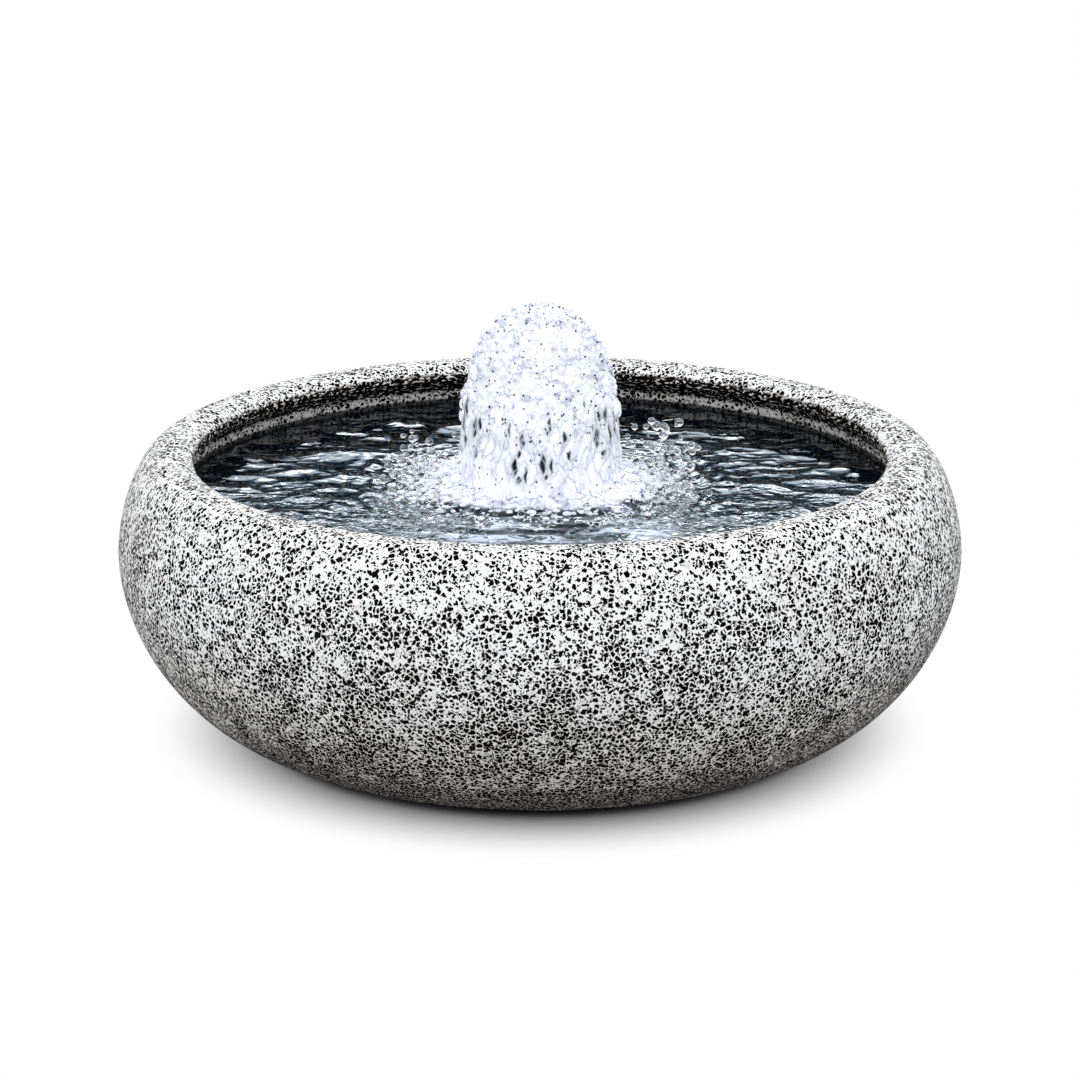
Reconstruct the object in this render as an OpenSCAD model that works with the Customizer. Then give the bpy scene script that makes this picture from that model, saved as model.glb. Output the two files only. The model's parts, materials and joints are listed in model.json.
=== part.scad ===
// Garden bowl fountain: a round stone bowl with a submersible pump on its floor, a flow valve,
// a ball-jointed foam nozzle, a drain, a cable bung and the moving water.
// Units are millimetres. The origin is the centre of the footprint on the ground,
// +Z is up and +Y is the back, where the cable channel leaves the foot.

/* [Bowl] */
// Overall diameter of the stone bowl, at its widest line
bowl_d = 700; // [660:10:760]
// Height of the top of the rim above the ground
bowl_h = 240; // [236:1:256]
// Height of the widest line above the ground
belly_z = 156; // [146:1:166]
// Diameter of the flat underside
base_d = 420; // [380:10:450]
// Width of the rim, from the widest line in to the mouth
rim_w = 64.5; // [60:0.5:70]
// Part of the rim's width that the outer curve takes
shoulder_w = 36; // [30:1:40]
// Part of the rim's width that the rounded inner lip takes
lip_w = 18.5; // [14:0.5:20]
// Height of the rounded inner lip
lip_drop = 12; // [8:1:14]
// How far the wall falls back behind the lip
undercut = 11.5; // [8:0.5:16]
// Height over which the wall falls back
undercut_h = 14; // [10:1:16]
// Thickness of the wall at the widest line
wall_t = 51; // [44:1:56]
// Thickness of the floor
floor_t = 42; // [38:1:46]
// Diameter of the flat floor inside
floor_d = 380; // [340:10:400]
// Curve of the lower outside, where 2 is an ellipse and more is squarer
low_curve = 1.87; // [1.7:0.01:2.2]
// Curve of the upper outside
up_curve = 1.7; // [1.5:0.01:2]
// Curve of the inside
in_curve = 2.2; // [2:0.1:2.5]

/* [Foot] */
// Diameter of a rubber pad
pad_d = 24; // [18:1:30]
// How far a pad stands out below the stone
pad_out = 2; // [1.5:0.5:4]
// Depth of a pad's pocket in the stone
pad_in = 3; // [2:0.5:5]
// Radius of the circle that the pads lie on
pad_ring_r = 182; // [160:1:185]
// Width of the cable channel under the foot
channel_w = 22; // [18:1:26]
// Height of the cable channel
channel_h = 16; // [14:1:20]

/* [Water] */
// Depth of the water's surface below the rim
fill_gap = 36; // [34:1:42]
// Thickness of the surface layer that is modelled
pool_t = 16; // [12:1:20]
// Height of the ripples
ripple_h = 1.8; // [0.5:0.1:2.4]
// Height of the foam jet above the surface
jet_h = 152; // [110:1:180]
// Diameter of the jet where it leaves the surface
jet_d = 140; // [110:2:150]
// Outer diameter of the splash ring
splash_d = 240; // [200:5:250]
// Height of the splash ring
splash_h = 9; // [5:0.5:12]

/* [Pump] */
// Height of the suction feet
foot_h = 6; // [5:0.5:8]
// Width of the motor housing
motor_w = 52; // [50:1:58]
// Height of the motor housing
motor_h = 54; // [52:1:58]
// Length of the motor housing
motor_len = 58; // [54:1:64]
// Wall of the motor housing
motor_wall = 2.5; // [2:0.1:2.6]
// Radius of the housing's rounded corners
motor_corner = 8; // [6:0.5:9]
// Outer radius of the rotor's magnet
magnet_r = 10.4; // [9.5:0.1:10.8]
// Gap between the magnet and its well
magnet_gap = 0.8; // [0.5:0.1:0.9]
// Wall of the rotor's well
well_wall = 1.5; // [1.2:0.1:1.7]
// Diameter of the ceramic shaft
shaft_d = 3; // [2.5:0.1:3.4]
// Radius of the impeller
impeller_r = 17; // [15:0.5:18]
// Number of vanes on the impeller
vanes = 6; // [4:1:8]
// Radius of the pump chamber
chamber_r = 20.5; // [20:0.1:21]
// Outer radius of the pump chamber's casing
casing_r = 25; // [24.8:0.1:25.3]
// Radius of the intake eye
eye_r = 9; // [8:0.5:10]
// Length of the strainer
strainer_len = 46; // [38:1:54]
// Number of slots around the strainer
slots = 18; // [12:1:22]
// Width of a slot
slot_w = 2.4; // [1.6:0.1:3]

/* [Riser and valve] */
// Outer radius of the spigots that the riser tube fits on
spigot_r = 8.5; // [8:0.1:9]
// Wall of a spigot
spigot_wall = 2; // [1.6:0.1:2.4]
// Wall of the riser tube
riser_wall = 2; // [1.5:0.1:2.5]
// Radius of the valve's barrel
barrel_r = 10.5; // [10.2:0.1:11]
// Radius of the valve's plug
plug_r = 7.9; // [7.5:0.1:8.2]
// Radius of the way through the plug
plug_way_r = 5; // [4:0.5:5.5]
// Length of the valve's lever
lever_len = 24; // [18:1:28]

/* [Nozzle] */
// Radius of the ball
ball_r = 10; // [9.5:0.1:10.3]
// Height of the nozzle's tip above the middle of the ball
nozzle_len = 30; // [28:1:32]
// Depth of the tip below the water's surface
tip_below = 2; // [1.5:0.5:4]
// Outer radius of the air sleeve
sleeve_r = 17; // [16:0.5:18]
// Greatest lean of the nozzle in degrees, which its clearances allow for
lean = 8; // [4:1:9]
// Number of outer jets round the middle one
outer_jets = 6; // [4:1:8]

/* [Drain and cable bung] */
// Distance of the drain to the left of the middle
drain_x = 80; // [70:1:95]
// Distance of the drain and the bung behind the middle
fittings_y = 115; // [108:1:125]
// Outer radius of the drain's threaded shank, G 1/2
shank_r = 10.48; // [10:0.01:10.8]
// Radius of the drain's bore
drain_r = 8; // [7:0.1:8.2]
// Width of the drain's nut across its corners
nut_d = 34.6; // [32:0.1:38]
// Outer radius of the cable bung
bung_r = 10.9; // [9:0.1:12]
// Radius of the cable that the bung grips
cable_r = 3.6; // [3:0.1:4.5]

/* [Fits] */
// Radial clearance of what turns or slides
run = 0.06; // [0.03:0.01:0.09]
// Clearance between pieces that are fixed together
seat = 0.1; // [0.05:0.01:0.15]
// Clearance between the water and what it meets
water_gap = 0.3; // [0.2:0.1:0.5]

/* [Hidden] */
$fn = 64;
cut = 1;

// Heights of the bowl, the water, the pump and the nozzle
bowl_r = bowl_d / 2;
base_r = base_d / 2;
floor_r = floor_d / 2;
mouth_r = bowl_r - rim_w;
crest_in_r = mouth_r + lip_w;
crest_out_r = bowl_r - shoulder_w;
pool_wall_r = mouth_r + undercut;
belly_in_r = bowl_r - wall_t;
base_z = pad_out;
floor_z = base_z + floor_t;
water_z = bowl_h - fill_gap;
pool_z = water_z - pool_t;
channel_z = base_z + channel_h;

// Motor housing, with the rotor's axis above its middle
housing_z = floor_z + foot_h;
motor_z = housing_z + motor_h / 2;
rotor_up = 5;
rotor_z = motor_z + rotor_up;
motor_front = 14;
motor_back = motor_front + motor_len;
front_wall = 3;
cap_t = 3;
well_r = magnet_r + magnet_gap;
shaft_r = shaft_d / 2;
bush_r = 5;
bush_len = 6;
bush_floor = 1;
well_floor = 2;
well_end = motor_back - 12;
bush_y = well_end - well_floor - bush_len;
rib_t = 1.2;
rib_w = 2;
rib_margin = 6;
ribs = 5;

// Screws between the motor housing and the casing
screw_r = 1.45;
screw_head_r = 2.5;
screw_head_h = 2.2;
screw_len = 10;
post_r = 3.5;
post_len = 4.5;
screw_in = 4.5;
screw_x = motor_w / 2 - screw_in;
screw_z = motor_h / 2 - screw_in + 0.5;

// Stator: a stack of plates bent round the well, and its winding
stack_front = motor_front + 8;
stack_back = stack_front + 32;
yoke_h = 8;
yoke_z = housing_z + 7;
leg_in = 10;
winding_t = 3;
winding_w = 18.6;

// Casing, cover and strainer
casing_front = -13;
casing_flange = 4;
chamber_front = -8.5;
chamber_back = motor_front - casing_flange;
rebate_r = chamber_r + 2.4;
cover_flange = 2;
cover_front = casing_front - cover_flange;
nose_r = casing_r - 1.8;
nose_len = 8;
nose_wall = 2;
hub_r = bush_r + 1.4;
arm_w = 2.4;
oring_r = 0.9;
cover_groove_w = 2.1;
cover_groove_y = casing_front + 1.3;
lug_r = casing_r - 0.9;
lug_root_r = rebate_r - 1.5;
lug_deg = 16;
lug_w = 1.2;
lug_back = chamber_front - 0.4;
strainer_wall = 1.7;
strainer_front = cover_front - strainer_len;
slot_margin = 7;
end_round = 4;
front_slots = 5;
front_pitch = 2.8;
grille_share = 0.68;

// Rotor
stem_r = 4;
vane_front = chamber_front + 2;
disc_front = chamber_back - 5;
disc_t = 2;
collar_back = disc_front + disc_t + 4;
magnet_len = 38;
stem_back = collar_back + magnet_len + 1.5;
vane_hub_r = 6;
vane_root = 2.4;
vane_tip = 1.2;
vane_gap = 0.3;
collar_r = stem_r + 3;

// Riser, valve and ball joint: each spigot goes a quarter of the tube's length into it
tip_z = water_z - tip_below;
ball_z = tip_z - nozzle_len;
valve_drop = 24;
valve_z = ball_z - valve_drop;
riser_gap = 0.5;
riser_foot = rotor_z + casing_r + 4 * riser_gap;
riser_top = valve_z - barrel_r - riser_gap;
spigot_grip = (riser_top - riser_foot) / 4;
spigot_top = riser_foot + spigot_grip;
valve_foot = riser_top - spigot_grip;
valve_neck_r = spigot_r + 1;
way_r = spigot_r - spigot_wall;
barrel_x = 14;
plug_x = 11;
gland_in = 2.6;
gland_flange = 3;
gland_d = 22;
stem_len = 21;
stem_x_r = 4;
lever_t = 5.5;
lever_w = 9;
lever_hub_r = 6.5;
lever_gap = 0.6;
cup_r = ball_r + 3;
cup_foot = ball_z - 15;
ball_gap = 0.15;
cup_oring_r = 1;
cup_oring_off = ball_r + cup_oring_r + 0.05;
union_r = 16;
union_foot = ball_z - 12;
union_top = ball_z + 8;
union_lip = ball_z + 4.6;
grips = 12;
grip_r = 1.1;
grip_top = union_top - 2;
ring_out_r = 12;
ring_foot = ball_z + 0.3;
ball_flat = 7;
nozzle_way_r = 4;
nozzle_stem_r = 6;
union_way_r = nozzle_stem_r / cos(lean) + (union_top - ball_z) * tan(lean) + 1;

// Nozzle head
head_r = 11;
head_foot = ball_z + 12;
head_top = tip_z - 7;
stem_top = head_top - 5;
head_room_r = 8;
head_room_foot = stem_top + 0.2;
plate_t = 2;
plate_r = 9.4;
mid_jet_r = 2.2;
outer_jet_r = 1.4;
outer_jet_ring = 5.6;
sleeve_wall = 1.5;
sleeve_foot = head_foot + 3;
sleeve_hub_wall = 1.5;
sleeve_hub_h = 6;
web_t = 2;
webs = 3;

// Drain
flange_r = 17;
flange_t = 3;
seal_t = 1.5;
recess_r = flange_r + 0.4;
spanner_r = nut_d / 2 + 7;
spanner_z = base_z + 22;
washer_t = 1.5;
drain_nut_h = 6;
thread_foot = spanner_z - washer_t - drain_nut_h - 1;
tail_z = base_z + 2;
tail_r = shank_r - 0.98;
stopper_len = 12;
stopper_head_r = 11;
stopper_head_h = 3;
stopper_gap = 0.2;
stopper_oring_r = 1;
stopper_oring_drop = 6;
pull_r = 5;
pull_z = 10;

// Bung
bung_flange_r = bung_r + 3.1;
bung_flange_t = 3;

// Water: how far the nozzle sweeps at the surface sets the hole in the middle
sweep_r = sleeve_r * cos(lean) + nozzle_len * sin(lean);
pool_hole_r = sweep_r + 4;
pool_r = pool_wall_r - water_gap;
jet_r = jet_d / 2;
jet_foot = water_z + water_gap;
splash_r = splash_d / 2;
calm_r = splash_r + 6;
ring_r = jet_r + 2 * water_gap;

// Waves: degrees of phase for each millimetre along X and Y, and share of the height
ring_wave = 9.4;
ring_share = 0.5;
cross_waves = [[7.1, 4.3, 0.3], [-5.9, 8.3, 0.2]];
wave_grow = 30;
wave_fade = 12;

// Steps along curves
outer_steps = 16;
inner_steps = 12;
lip_steps = 6;
pool_turns = 84;
pool_rings = 12;
jet_turns = 60;
jet_rings = 28;
splash_turns = 72;
splash_rings = 5;

// Quarter of a superellipse: p is 2 for an ellipse
function bulge(t, p) = [pow(max(cos(t), 0), 2 / p), pow(max(sin(t), 0), 2 / p)];

// Smooth step from 0 to 1
function ease(t) = let (u = min(max(t, 0), 1)) u * u * (3 - 2 * u);

// Outline of a rounded rectangle
function rounded(w, h, r, n = 6) = [
    for (q = [0:3])
        for (i = [0:n])
            let (a = 90 * q + 90 * i / n, sx = (q == 0 || q == 3) ? 1 : -1, sy = q < 2 ? 1 : -1)
                [sx * (w / 2 - r) + r * cos(a), sy * (h / 2 - r) + r * sin(a)]
];

// Faces of a closed band of rings, n points in each of m rings
function band_faces(m, n) = [
    for (k = [0:m - 1])
        for (i = [0:n - 1])
            let (a = k * n + i, d = k * n + (i + 1) % n)
            let (b = ((k + 1) % m) * n + i, c = ((k + 1) % m) * n + (i + 1) % n)
                for (f = [[a, d, c], [a, c, b]]) f
];

// Bar between two places along an axis
module rod_x(r, x0, x1) {
    translate([x0, 0, 0]) rotate([0, 90, 0]) cylinder(r = r, h = x1 - x0);
}

module rod_y(r, y0, y1) {
    translate([0, y1, 0]) rotate([90, 0, 0]) cylinder(r = r, h = y1 - y0);
}

module rod_z(r, z0, z1) {
    translate([0, 0, z0]) cylinder(r = r, h = z1 - z0);
}

// Flat outline in X and Z, drawn out along Y
module slab_y(y0, y1) {
    translate([0, y1, 0]) rotate([90, 0, 0]) linear_extrude(y1 - y0) children();
}

// Ring of round section about Z
module round_ring(ring_r, tube_r) {
    rotate_extrude() translate([ring_r, 0]) circle(r = tube_r, $fn = 24);
}

module at_rotor() {
    translate([0, 0, rotor_z]) children();
}

module at_screws() {
    for (sx = [-1, 1], sz = [-1, 1])
        translate([sx * screw_x, 0, motor_z + sz * screw_z]) children();
}

// Half section of the bowl, from the outside round to the inside
function bowl_outside() = concat(
    [for (i = [0:outer_steps])
        let (s = bulge(90 - 90 * i / outer_steps, low_curve))
            [base_r + (bowl_r - base_r) * s[0], belly_z - (belly_z - base_z) * s[1]]],
    [for (i = [1:outer_steps])
        let (s = bulge(90 * i / outer_steps, up_curve))
            [crest_out_r + (bowl_r - crest_out_r) * s[0], belly_z + (bowl_h - belly_z) * s[1]]]
);

function bowl_inside() = concat(
    [for (i = [0:lip_steps])
        let (t = 90 * i / lip_steps)
            [crest_in_r - lip_w * sin(t), bowl_h - lip_drop + lip_drop * cos(t)]],
    [for (i = [1:lip_steps])
        let (t = 180 * i / lip_steps)
            [mouth_r + undercut * (1 - cos(t)) / 2, bowl_h - lip_drop - undercut_h * i / lip_steps]],
    [for (i = [0:inner_steps])
        let (s = bulge(90 * i / inner_steps, in_curve))
            [floor_r + (belly_in_r - floor_r) * s[0], belly_z - (belly_z - floor_z) * s[1]]]
);

module bowl() {
    color([0.72, 0.72, 0.71])
        difference() {
            rotate_extrude($fn = 128)
                polygon(concat([[0, base_z]], bowl_outside(), bowl_inside(), [[0, floor_z]]));
            pad_places() rod_z(pad_d / 2 + seat, -cut, base_z + pad_in);
            translate([0, fittings_y, 0]) rod_z(bung_r + seat, 0, floor_z + cut);
            translate([0, fittings_y, 0]) rod_z(channel_w / 2, 0, channel_z);
            translate([-channel_w / 2, fittings_y, 0]) cube([channel_w, bowl_r, channel_z]);
            translate([-drain_x, fittings_y - channel_w / 3, 0])
                cube([drain_x, channel_w * 2 / 3, channel_z]);
            at_drain() {
                rod_z(shank_r + 2 * seat, 0, floor_z + cut);
                rod_z(recess_r, floor_z - flange_t - seal_t, floor_z + cut);
                rod_z(spanner_r, 0, spanner_z);
            }
        }
}

module pad_places() {
    for (a = [45:90:315]) rotate([0, 0, a]) translate([pad_ring_r, 0, 0]) children();
}

module rubber_pads() {
    pad_r = pad_d / 2;
    edge = 0.8;
    color([0.08, 0.08, 0.08])
        pad_places()
            rotate_extrude()
                polygon([[0, 0], [pad_r - edge, 0], [pad_r, edge], [pad_r, base_z + pad_in],
                    [0, base_z + pad_in]]);
}

module at_drain() {
    translate([-drain_x, fittings_y, 0]) children();
}

// Brass through-fitting: its flange lies in the floor, and its hose tail stands out below
module drain_body() {
    edge = 0.8;
    color([0.75, 0.6, 0.32])
        at_drain()
            rotate_extrude()
                polygon([[drain_r, tail_z], [tail_r - edge, tail_z], [tail_r, tail_z + edge],
                    [tail_r, thread_foot], [shank_r - edge, thread_foot],
                    [shank_r, thread_foot + edge], [shank_r, floor_z - flange_t],
                    [flange_r, floor_z - flange_t], [flange_r, floor_z - edge],
                    [flange_r - edge, floor_z], [drain_r, floor_z]]);
}

module drain_seal() {
    color([0.1, 0.1, 0.1])
        at_drain()
            difference() {
                rod_z(flange_r, floor_z - flange_t - seal_t, floor_z - flange_t);
                rod_z(shank_r + seat, floor_z - flange_t - seal_t - cut, floor_z);
            }
}

module drain_washer() {
    color([0.6, 0.22, 0.16])
        at_drain()
            difference() {
                rod_z(nut_d / 2, spanner_z - washer_t, spanner_z);
                rod_z(shank_r + seat, spanner_z - washer_t - cut, spanner_z + cut);
            }
}

module drain_nut() {
    top = spanner_z - washer_t;
    color([0.72, 0.57, 0.3])
        at_drain()
            difference() {
                translate([0, 0, top - drain_nut_h]) cylinder(d = nut_d, h = drain_nut_h, $fn = 6);
                rod_z(shank_r + run, top - drain_nut_h - cut, top + cut);
            }
}

// Stopper that is pulled up by its knob to empty the bowl
module drain_plug() {
    r = drain_r - run;
    top = floor_z + stopper_gap;
    ring_z = floor_z - stopper_oring_drop;
    groove_r = r - 2 * stopper_oring_r;
    groove_h = stopper_oring_r * 1.15;
    neck_r = pull_r / 2;
    knob_z = floor_z + pull_z;
    color([0.55, 0.55, 0.55])
        at_drain()
            rotate_extrude()
                polygon(concat(
                    [[0, floor_z - stopper_len], [r - 1, floor_z - stopper_len],
                        [r, floor_z - stopper_len + 1], [r, ring_z - groove_h],
                        [groove_r, ring_z - groove_h], [groove_r, ring_z + groove_h],
                        [r, ring_z + groove_h], [r, top], [stopper_head_r, top],
                        [stopper_head_r, top + stopper_head_h - 1],
                        [stopper_head_r - 1, top + stopper_head_h],
                        [neck_r, top + stopper_head_h]],
                    [for (t = [-60:15:90]) [pull_r * cos(t), knob_z + pull_r * sin(t)]]));
}

module plug_oring() {
    color([0.05, 0.05, 0.05])
        at_drain()
            translate([0, 0, floor_z - stopper_oring_drop])
                round_ring(drain_r - run - stopper_oring_r, stopper_oring_r);
}

// Rubber bung that closes the floor round the pump's cable
module cable_bung() {
    edge = 1;
    foot = channel_z + 1;
    color([0.12, 0.12, 0.12])
        translate([0, fittings_y, 0])
            rotate_extrude()
                polygon([[cable_r, foot], [bung_r - edge, foot], [bung_r, foot + 2 * edge],
                    [bung_r, floor_z], [bung_flange_r, floor_z],
                    [bung_flange_r - edge, floor_z + bung_flange_t],
                    [cable_r, floor_z + bung_flange_t]]);
}

// Motor housing: a closed box with a well for the rotor
module pump_housing() {
    color([0.13, 0.14, 0.15])
        difference() {
            union() {
                difference() {
                    union() {
                        slab_y(motor_front, motor_back)
                            translate([0, motor_z]) polygon(rounded(motor_w, motor_h, motor_corner));
                        housing_ribs();
                    }
                    slab_y(motor_front + front_wall, motor_back + cut)
                        translate([0, motor_z])
                            polygon(rounded(motor_w - 2 * motor_wall, motor_h - 2 * motor_wall,
                                motor_corner - motor_wall));
                }
                at_rotor() rod_y(well_r + well_wall, motor_front, well_end);
                at_screws() rod_y(post_r, motor_front, motor_front + front_wall + post_len);
            }
            at_rotor() {
                rod_y(well_r, motor_front - cut, bush_y);
                rod_y(bush_r + seat / 2, motor_front, well_end - well_floor);
            }
            at_screws()
                rod_y(screw_r + seat / 2, motor_front - cut, motor_front + front_wall + post_len + cut);
        }
}

// Upright cooling ribs on both sides of the motor housing
module housing_ribs() {
    pitch = (motor_len - 2 * rib_margin - rib_w) / (ribs - 1);
    reach = motor_h - 2 * motor_corner;
    for (i = [0:ribs - 1], sx = [-1, 1])
        translate([sx * motor_w / 2 - rib_t, motor_front + rib_margin + pitch * i, motor_z - reach / 2])
            cube([2 * rib_t, rib_w, reach]);
}

// Back of the motor housing, with the boss that the cable goes into
module motor_cap() {
    boss_r = cable_r + 3;
    boss_back = motor_back + cap_t + 8;
    boss_floor = motor_back + cap_t - 1;
    boss_z = housing_z + 14;
    lip = 3;
    lip_t = 1.5;
    inset = 2 * (motor_wall + seat);
    color([0.16, 0.17, 0.18])
        difference() {
            union() {
                slab_y(motor_back, motor_back + cap_t)
                    translate([0, motor_z]) polygon(rounded(motor_w, motor_h, motor_corner));
                difference() {
                    slab_y(motor_back - lip, motor_back + cut)
                        translate([0, motor_z])
                            polygon(rounded(motor_w - inset, motor_h - inset, motor_corner - motor_wall));
                    slab_y(motor_back - lip - cut, motor_back)
                        translate([0, motor_z])
                            polygon(rounded(motor_w - inset - 2 * lip_t, motor_h - inset - 2 * lip_t,
                                motor_corner - motor_wall - lip_t));
                }
                translate([0, 0, boss_z]) rod_y(boss_r, motor_back, boss_back);
            }
            translate([0, 0, boss_z]) rod_y(cable_r, boss_floor, boss_back + cut);
        }
}

// Stack of plates: two legs beside the well, joined under it
module stator_core() {
    half = motor_w / 2 - motor_wall - water_gap;
    top = rotor_z + well_r + well_wall;
    color([0.45, 0.46, 0.48])
        slab_y(stack_front, stack_back)
            difference() {
                translate([-half, yoke_z]) square([2 * half, top - yoke_z]);
                translate([-leg_in, yoke_z + yoke_h]) square([2 * leg_in, top]);
                translate([0, rotor_z]) circle(r = well_r + well_wall + water_gap);
            }
}

// Winding round the yoke
module stator_winding() {
    deep = stack_back - stack_front;
    mid_y = (stack_front + stack_back) / 2;
    room = water_gap;
    color([0.7, 0.38, 0.2])
        translate([-winding_w / 2, mid_y, yoke_z + yoke_h / 2])
            rotate([0, 90, 0])
                linear_extrude(winding_w)
                    difference() {
                        polygon(rounded(yoke_h + 2 * (room + winding_t), deep + 2 * (room + winding_t),
                            winding_t));
                        square([yoke_h + 2 * room, deep + 2 * room], center = true);
                    }
}

module housing_screws() {
    tip = chamber_back + screw_len;
    color([0.7, 0.7, 0.7])
        at_screws()
            union() {
                rod_y(screw_r, chamber_back, tip);
                rod_y(screw_head_r, chamber_back - screw_head_h, chamber_back);
            }
}

// Rubber suction cups under the motor housing
module suction_feet() {
    cup_rim = 9;
    neck = 4;
    inset = cup_rim + 1;
    color([0.1, 0.1, 0.1])
        for (sx = [-1, 1], y = [motor_front + inset, motor_back - inset])
            translate([sx * (motor_w / 2 - inset), y, floor_z])
                rotate_extrude()
                    polygon([[0, foot_h / 3], [cup_rim * 0.6, foot_h / 4], [cup_rim - 1, 0],
                        [cup_rim, 0], [cup_rim * 0.75, foot_h / 2], [neck, foot_h * 0.75],
                        [neck, foot_h], [0, foot_h]]);
}

// Pump chamber with its outlet spigot, screwed to the front of the motor housing
module pump_casing() {
    color([0.15, 0.16, 0.17])
        difference() {
            union() {
                at_rotor() rod_y(casing_r, casing_front, motor_front);
                slab_y(chamber_back, motor_front)
                    translate([0, motor_z]) polygon(rounded(motor_w, motor_h, motor_corner));
                rod_z(spigot_r, rotor_z, spigot_top);
            }
            at_rotor() {
                rod_y(chamber_r, chamber_front, chamber_back);
                rod_y(rebate_r, casing_front - cut, chamber_front);
                rod_y(well_r, chamber_front, motor_front + cut);
                cover_lugs(lug_r + seat, seat);
            }
            rod_z(way_r, rotor_z, spigot_top + cut);
            at_screws() {
                rod_y(screw_r + seat, chamber_front, motor_front + cut);
                rod_y(screw_head_r + seat, casing_front - cut, chamber_back);
            }
        }
}

// Three short lugs that lock the cover in the casing
module cover_lugs(r, gap) {
    for (a = [30:120:270])
        slab_y(lug_back - lug_w - gap, lug_back + gap)
            intersection() {
                difference() {
                    circle(r = r);
                    circle(r = lug_root_r);
                }
                rotate(a)
                    polygon([[0, 0],
                        for (t = [-lug_deg:lug_deg:lug_deg]) 2 * casing_r * [cos(t), sin(t)]]);
            }
}

// Cover with the intake eye, the bush's hub on three arms, and the strainer's seat
module intake_cover() {
    cover_plug_r = rebate_r - seat;
    groove = cover_groove_w / 2;
    color([0.2, 0.21, 0.22])
        at_rotor()
            union() {
                difference() {
                    union() {
                        rod_y(cover_plug_r, casing_front - cut, chamber_front - seat);
                        rod_y(casing_r, cover_front, casing_front);
                        rod_y(nose_r, cover_front - nose_len, cover_front);
                    }
                    rod_y(nose_r - nose_wall, cover_front - nose_len - cut, cover_front);
                    rod_y(eye_r, cover_front - cut, chamber_front + cut);
                    difference() {
                        rod_y(cover_plug_r + cut, cover_groove_y - groove, cover_groove_y + groove);
                        rod_y(cover_plug_r - 2 * oring_r, casing_front - cut, chamber_front + cut);
                    }
                }
                cover_lugs(lug_r, 0);
                difference() {
                    union() {
                        rod_y(hub_r, cover_front, chamber_front - bush_floor);
                        for (a = [90:120:330])
                            slab_y(cover_front, casing_front)
                                rotate(a) translate([0, -arm_w / 2]) square([eye_r + 1, arm_w]);
                    }
                    rod_y(bush_r + seat / 2, cover_front + bush_floor, chamber_front + cut);
                }
            }
}

module cover_oring() {
    color([0.05, 0.05, 0.05])
        at_rotor()
            translate([0, cover_groove_y, 0])
                rotate([90, 0, 0]) round_ring(rebate_r - seat - oring_r, oring_r);
}

// Fixed ceramic shaft that the rotor turns on
module rotor_shaft() {
    color([0.92, 0.92, 0.88])
        at_rotor() rod_y(shaft_r, cover_front + 2 * bush_floor, bush_y + bush_len - bush_floor);
}

// Rubber cup for one end of the shaft
module shaft_bush(y0, y1, blind0, blind1) {
    color([0.12, 0.12, 0.12])
        at_rotor()
            difference() {
                rod_y(bush_r, y0, y1);
                rod_y(shaft_r + run / 2, y0 + blind0, y1 + blind1);
            }
}

module front_bush() {
    shaft_bush(cover_front + bush_floor, chamber_front - bush_floor, bush_floor, cut);
}

module rear_bush() {
    shaft_bush(bush_y, bush_y + bush_len, -cut, -bush_floor);
}

// Impeller with its stem, moulded in one
module impeller() {
    vane_end = impeller_r - vane_gap;
    vane_start = vane_hub_r - cut;
    color([0.85, 0.85, 0.82])
        at_rotor()
            difference() {
                union() {
                    rod_y(impeller_r, disc_front, disc_front + disc_t);
                    rod_y(vane_hub_r, vane_front, disc_front + disc_t);
                    rod_y(collar_r, disc_front, collar_back);
                    rod_y(stem_r, disc_front, stem_back);
                    for (i = [0:vanes - 1])
                        slab_y(vane_front, disc_front + disc_t / 2)
                            rotate(360 * i / vanes)
                                polygon([[vane_start, -vane_root / 2], [vane_end, -vane_tip / 2],
                                    [vane_end, vane_tip / 2], [vane_start, vane_root / 2]]);
                }
                rod_y(shaft_r + run, vane_front - cut, stem_back + cut);
            }
}

module rotor_magnet() {
    color([0.25, 0.25, 0.27])
        at_rotor()
            difference() {
                rod_y(magnet_r, collar_back, collar_back + magnet_len);
                rod_y(stem_r + seat / 2, collar_back - cut, collar_back + magnet_len + cut);
            }
}

// Slotted cage that pulls off towards the front
module strainer() {
    inner = nose_r + run;
    outer = inner + strainer_wall;
    back = cover_front;
    slot_from = strainer_front + slot_margin;
    slot_to = cover_front - nose_len - strainer_wall;
    grille_r = grille_share * inner;
    color([0.1, 0.11, 0.12])
        at_rotor()
            difference() {
                rotate([90, 0, 0])
                    rotate_extrude()
                        polygon(concat([[0, -strainer_front], [0, -strainer_front - strainer_wall],
                                [inner, -strainer_front - strainer_wall], [inner, -back]],
                            [[outer, -back]],
                            [for (t = [0:15:90])
                                [outer - end_round + end_round * cos(t),
                                    -strainer_front - end_round + end_round * sin(t)]]));
                for (i = [0:slots - 1])
                    rotate([0, 360 * (i + 0.5) / slots, 0])
                        translate([inner - end_round, slot_from, -slot_w / 2])
                            cube([2 * end_round, slot_to - slot_from, slot_w]);
                for (i = [0:front_slots - 1])
                    let (x = (i - (front_slots - 1) / 2) * front_pitch * slot_w)
                        let (half = sqrt(max(grille_r * grille_r - x * x, slot_w * slot_w)))
                            translate([x - slot_w / 2, strainer_front - cut, -half])
                                cube([slot_w, strainer_wall + 2 * cut, 2 * half]);
            }
}

// Tube between the pump's spigot and the valve's, whose length follows the water's height
module riser_tube() {
    inner = spigot_r + seat;
    color([0.2, 0.2, 0.21])
        difference() {
            rod_z(inner + riser_wall, riser_foot, riser_top);
            rod_z(inner, riser_foot - cut, riser_top + cut);
        }
}

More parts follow.
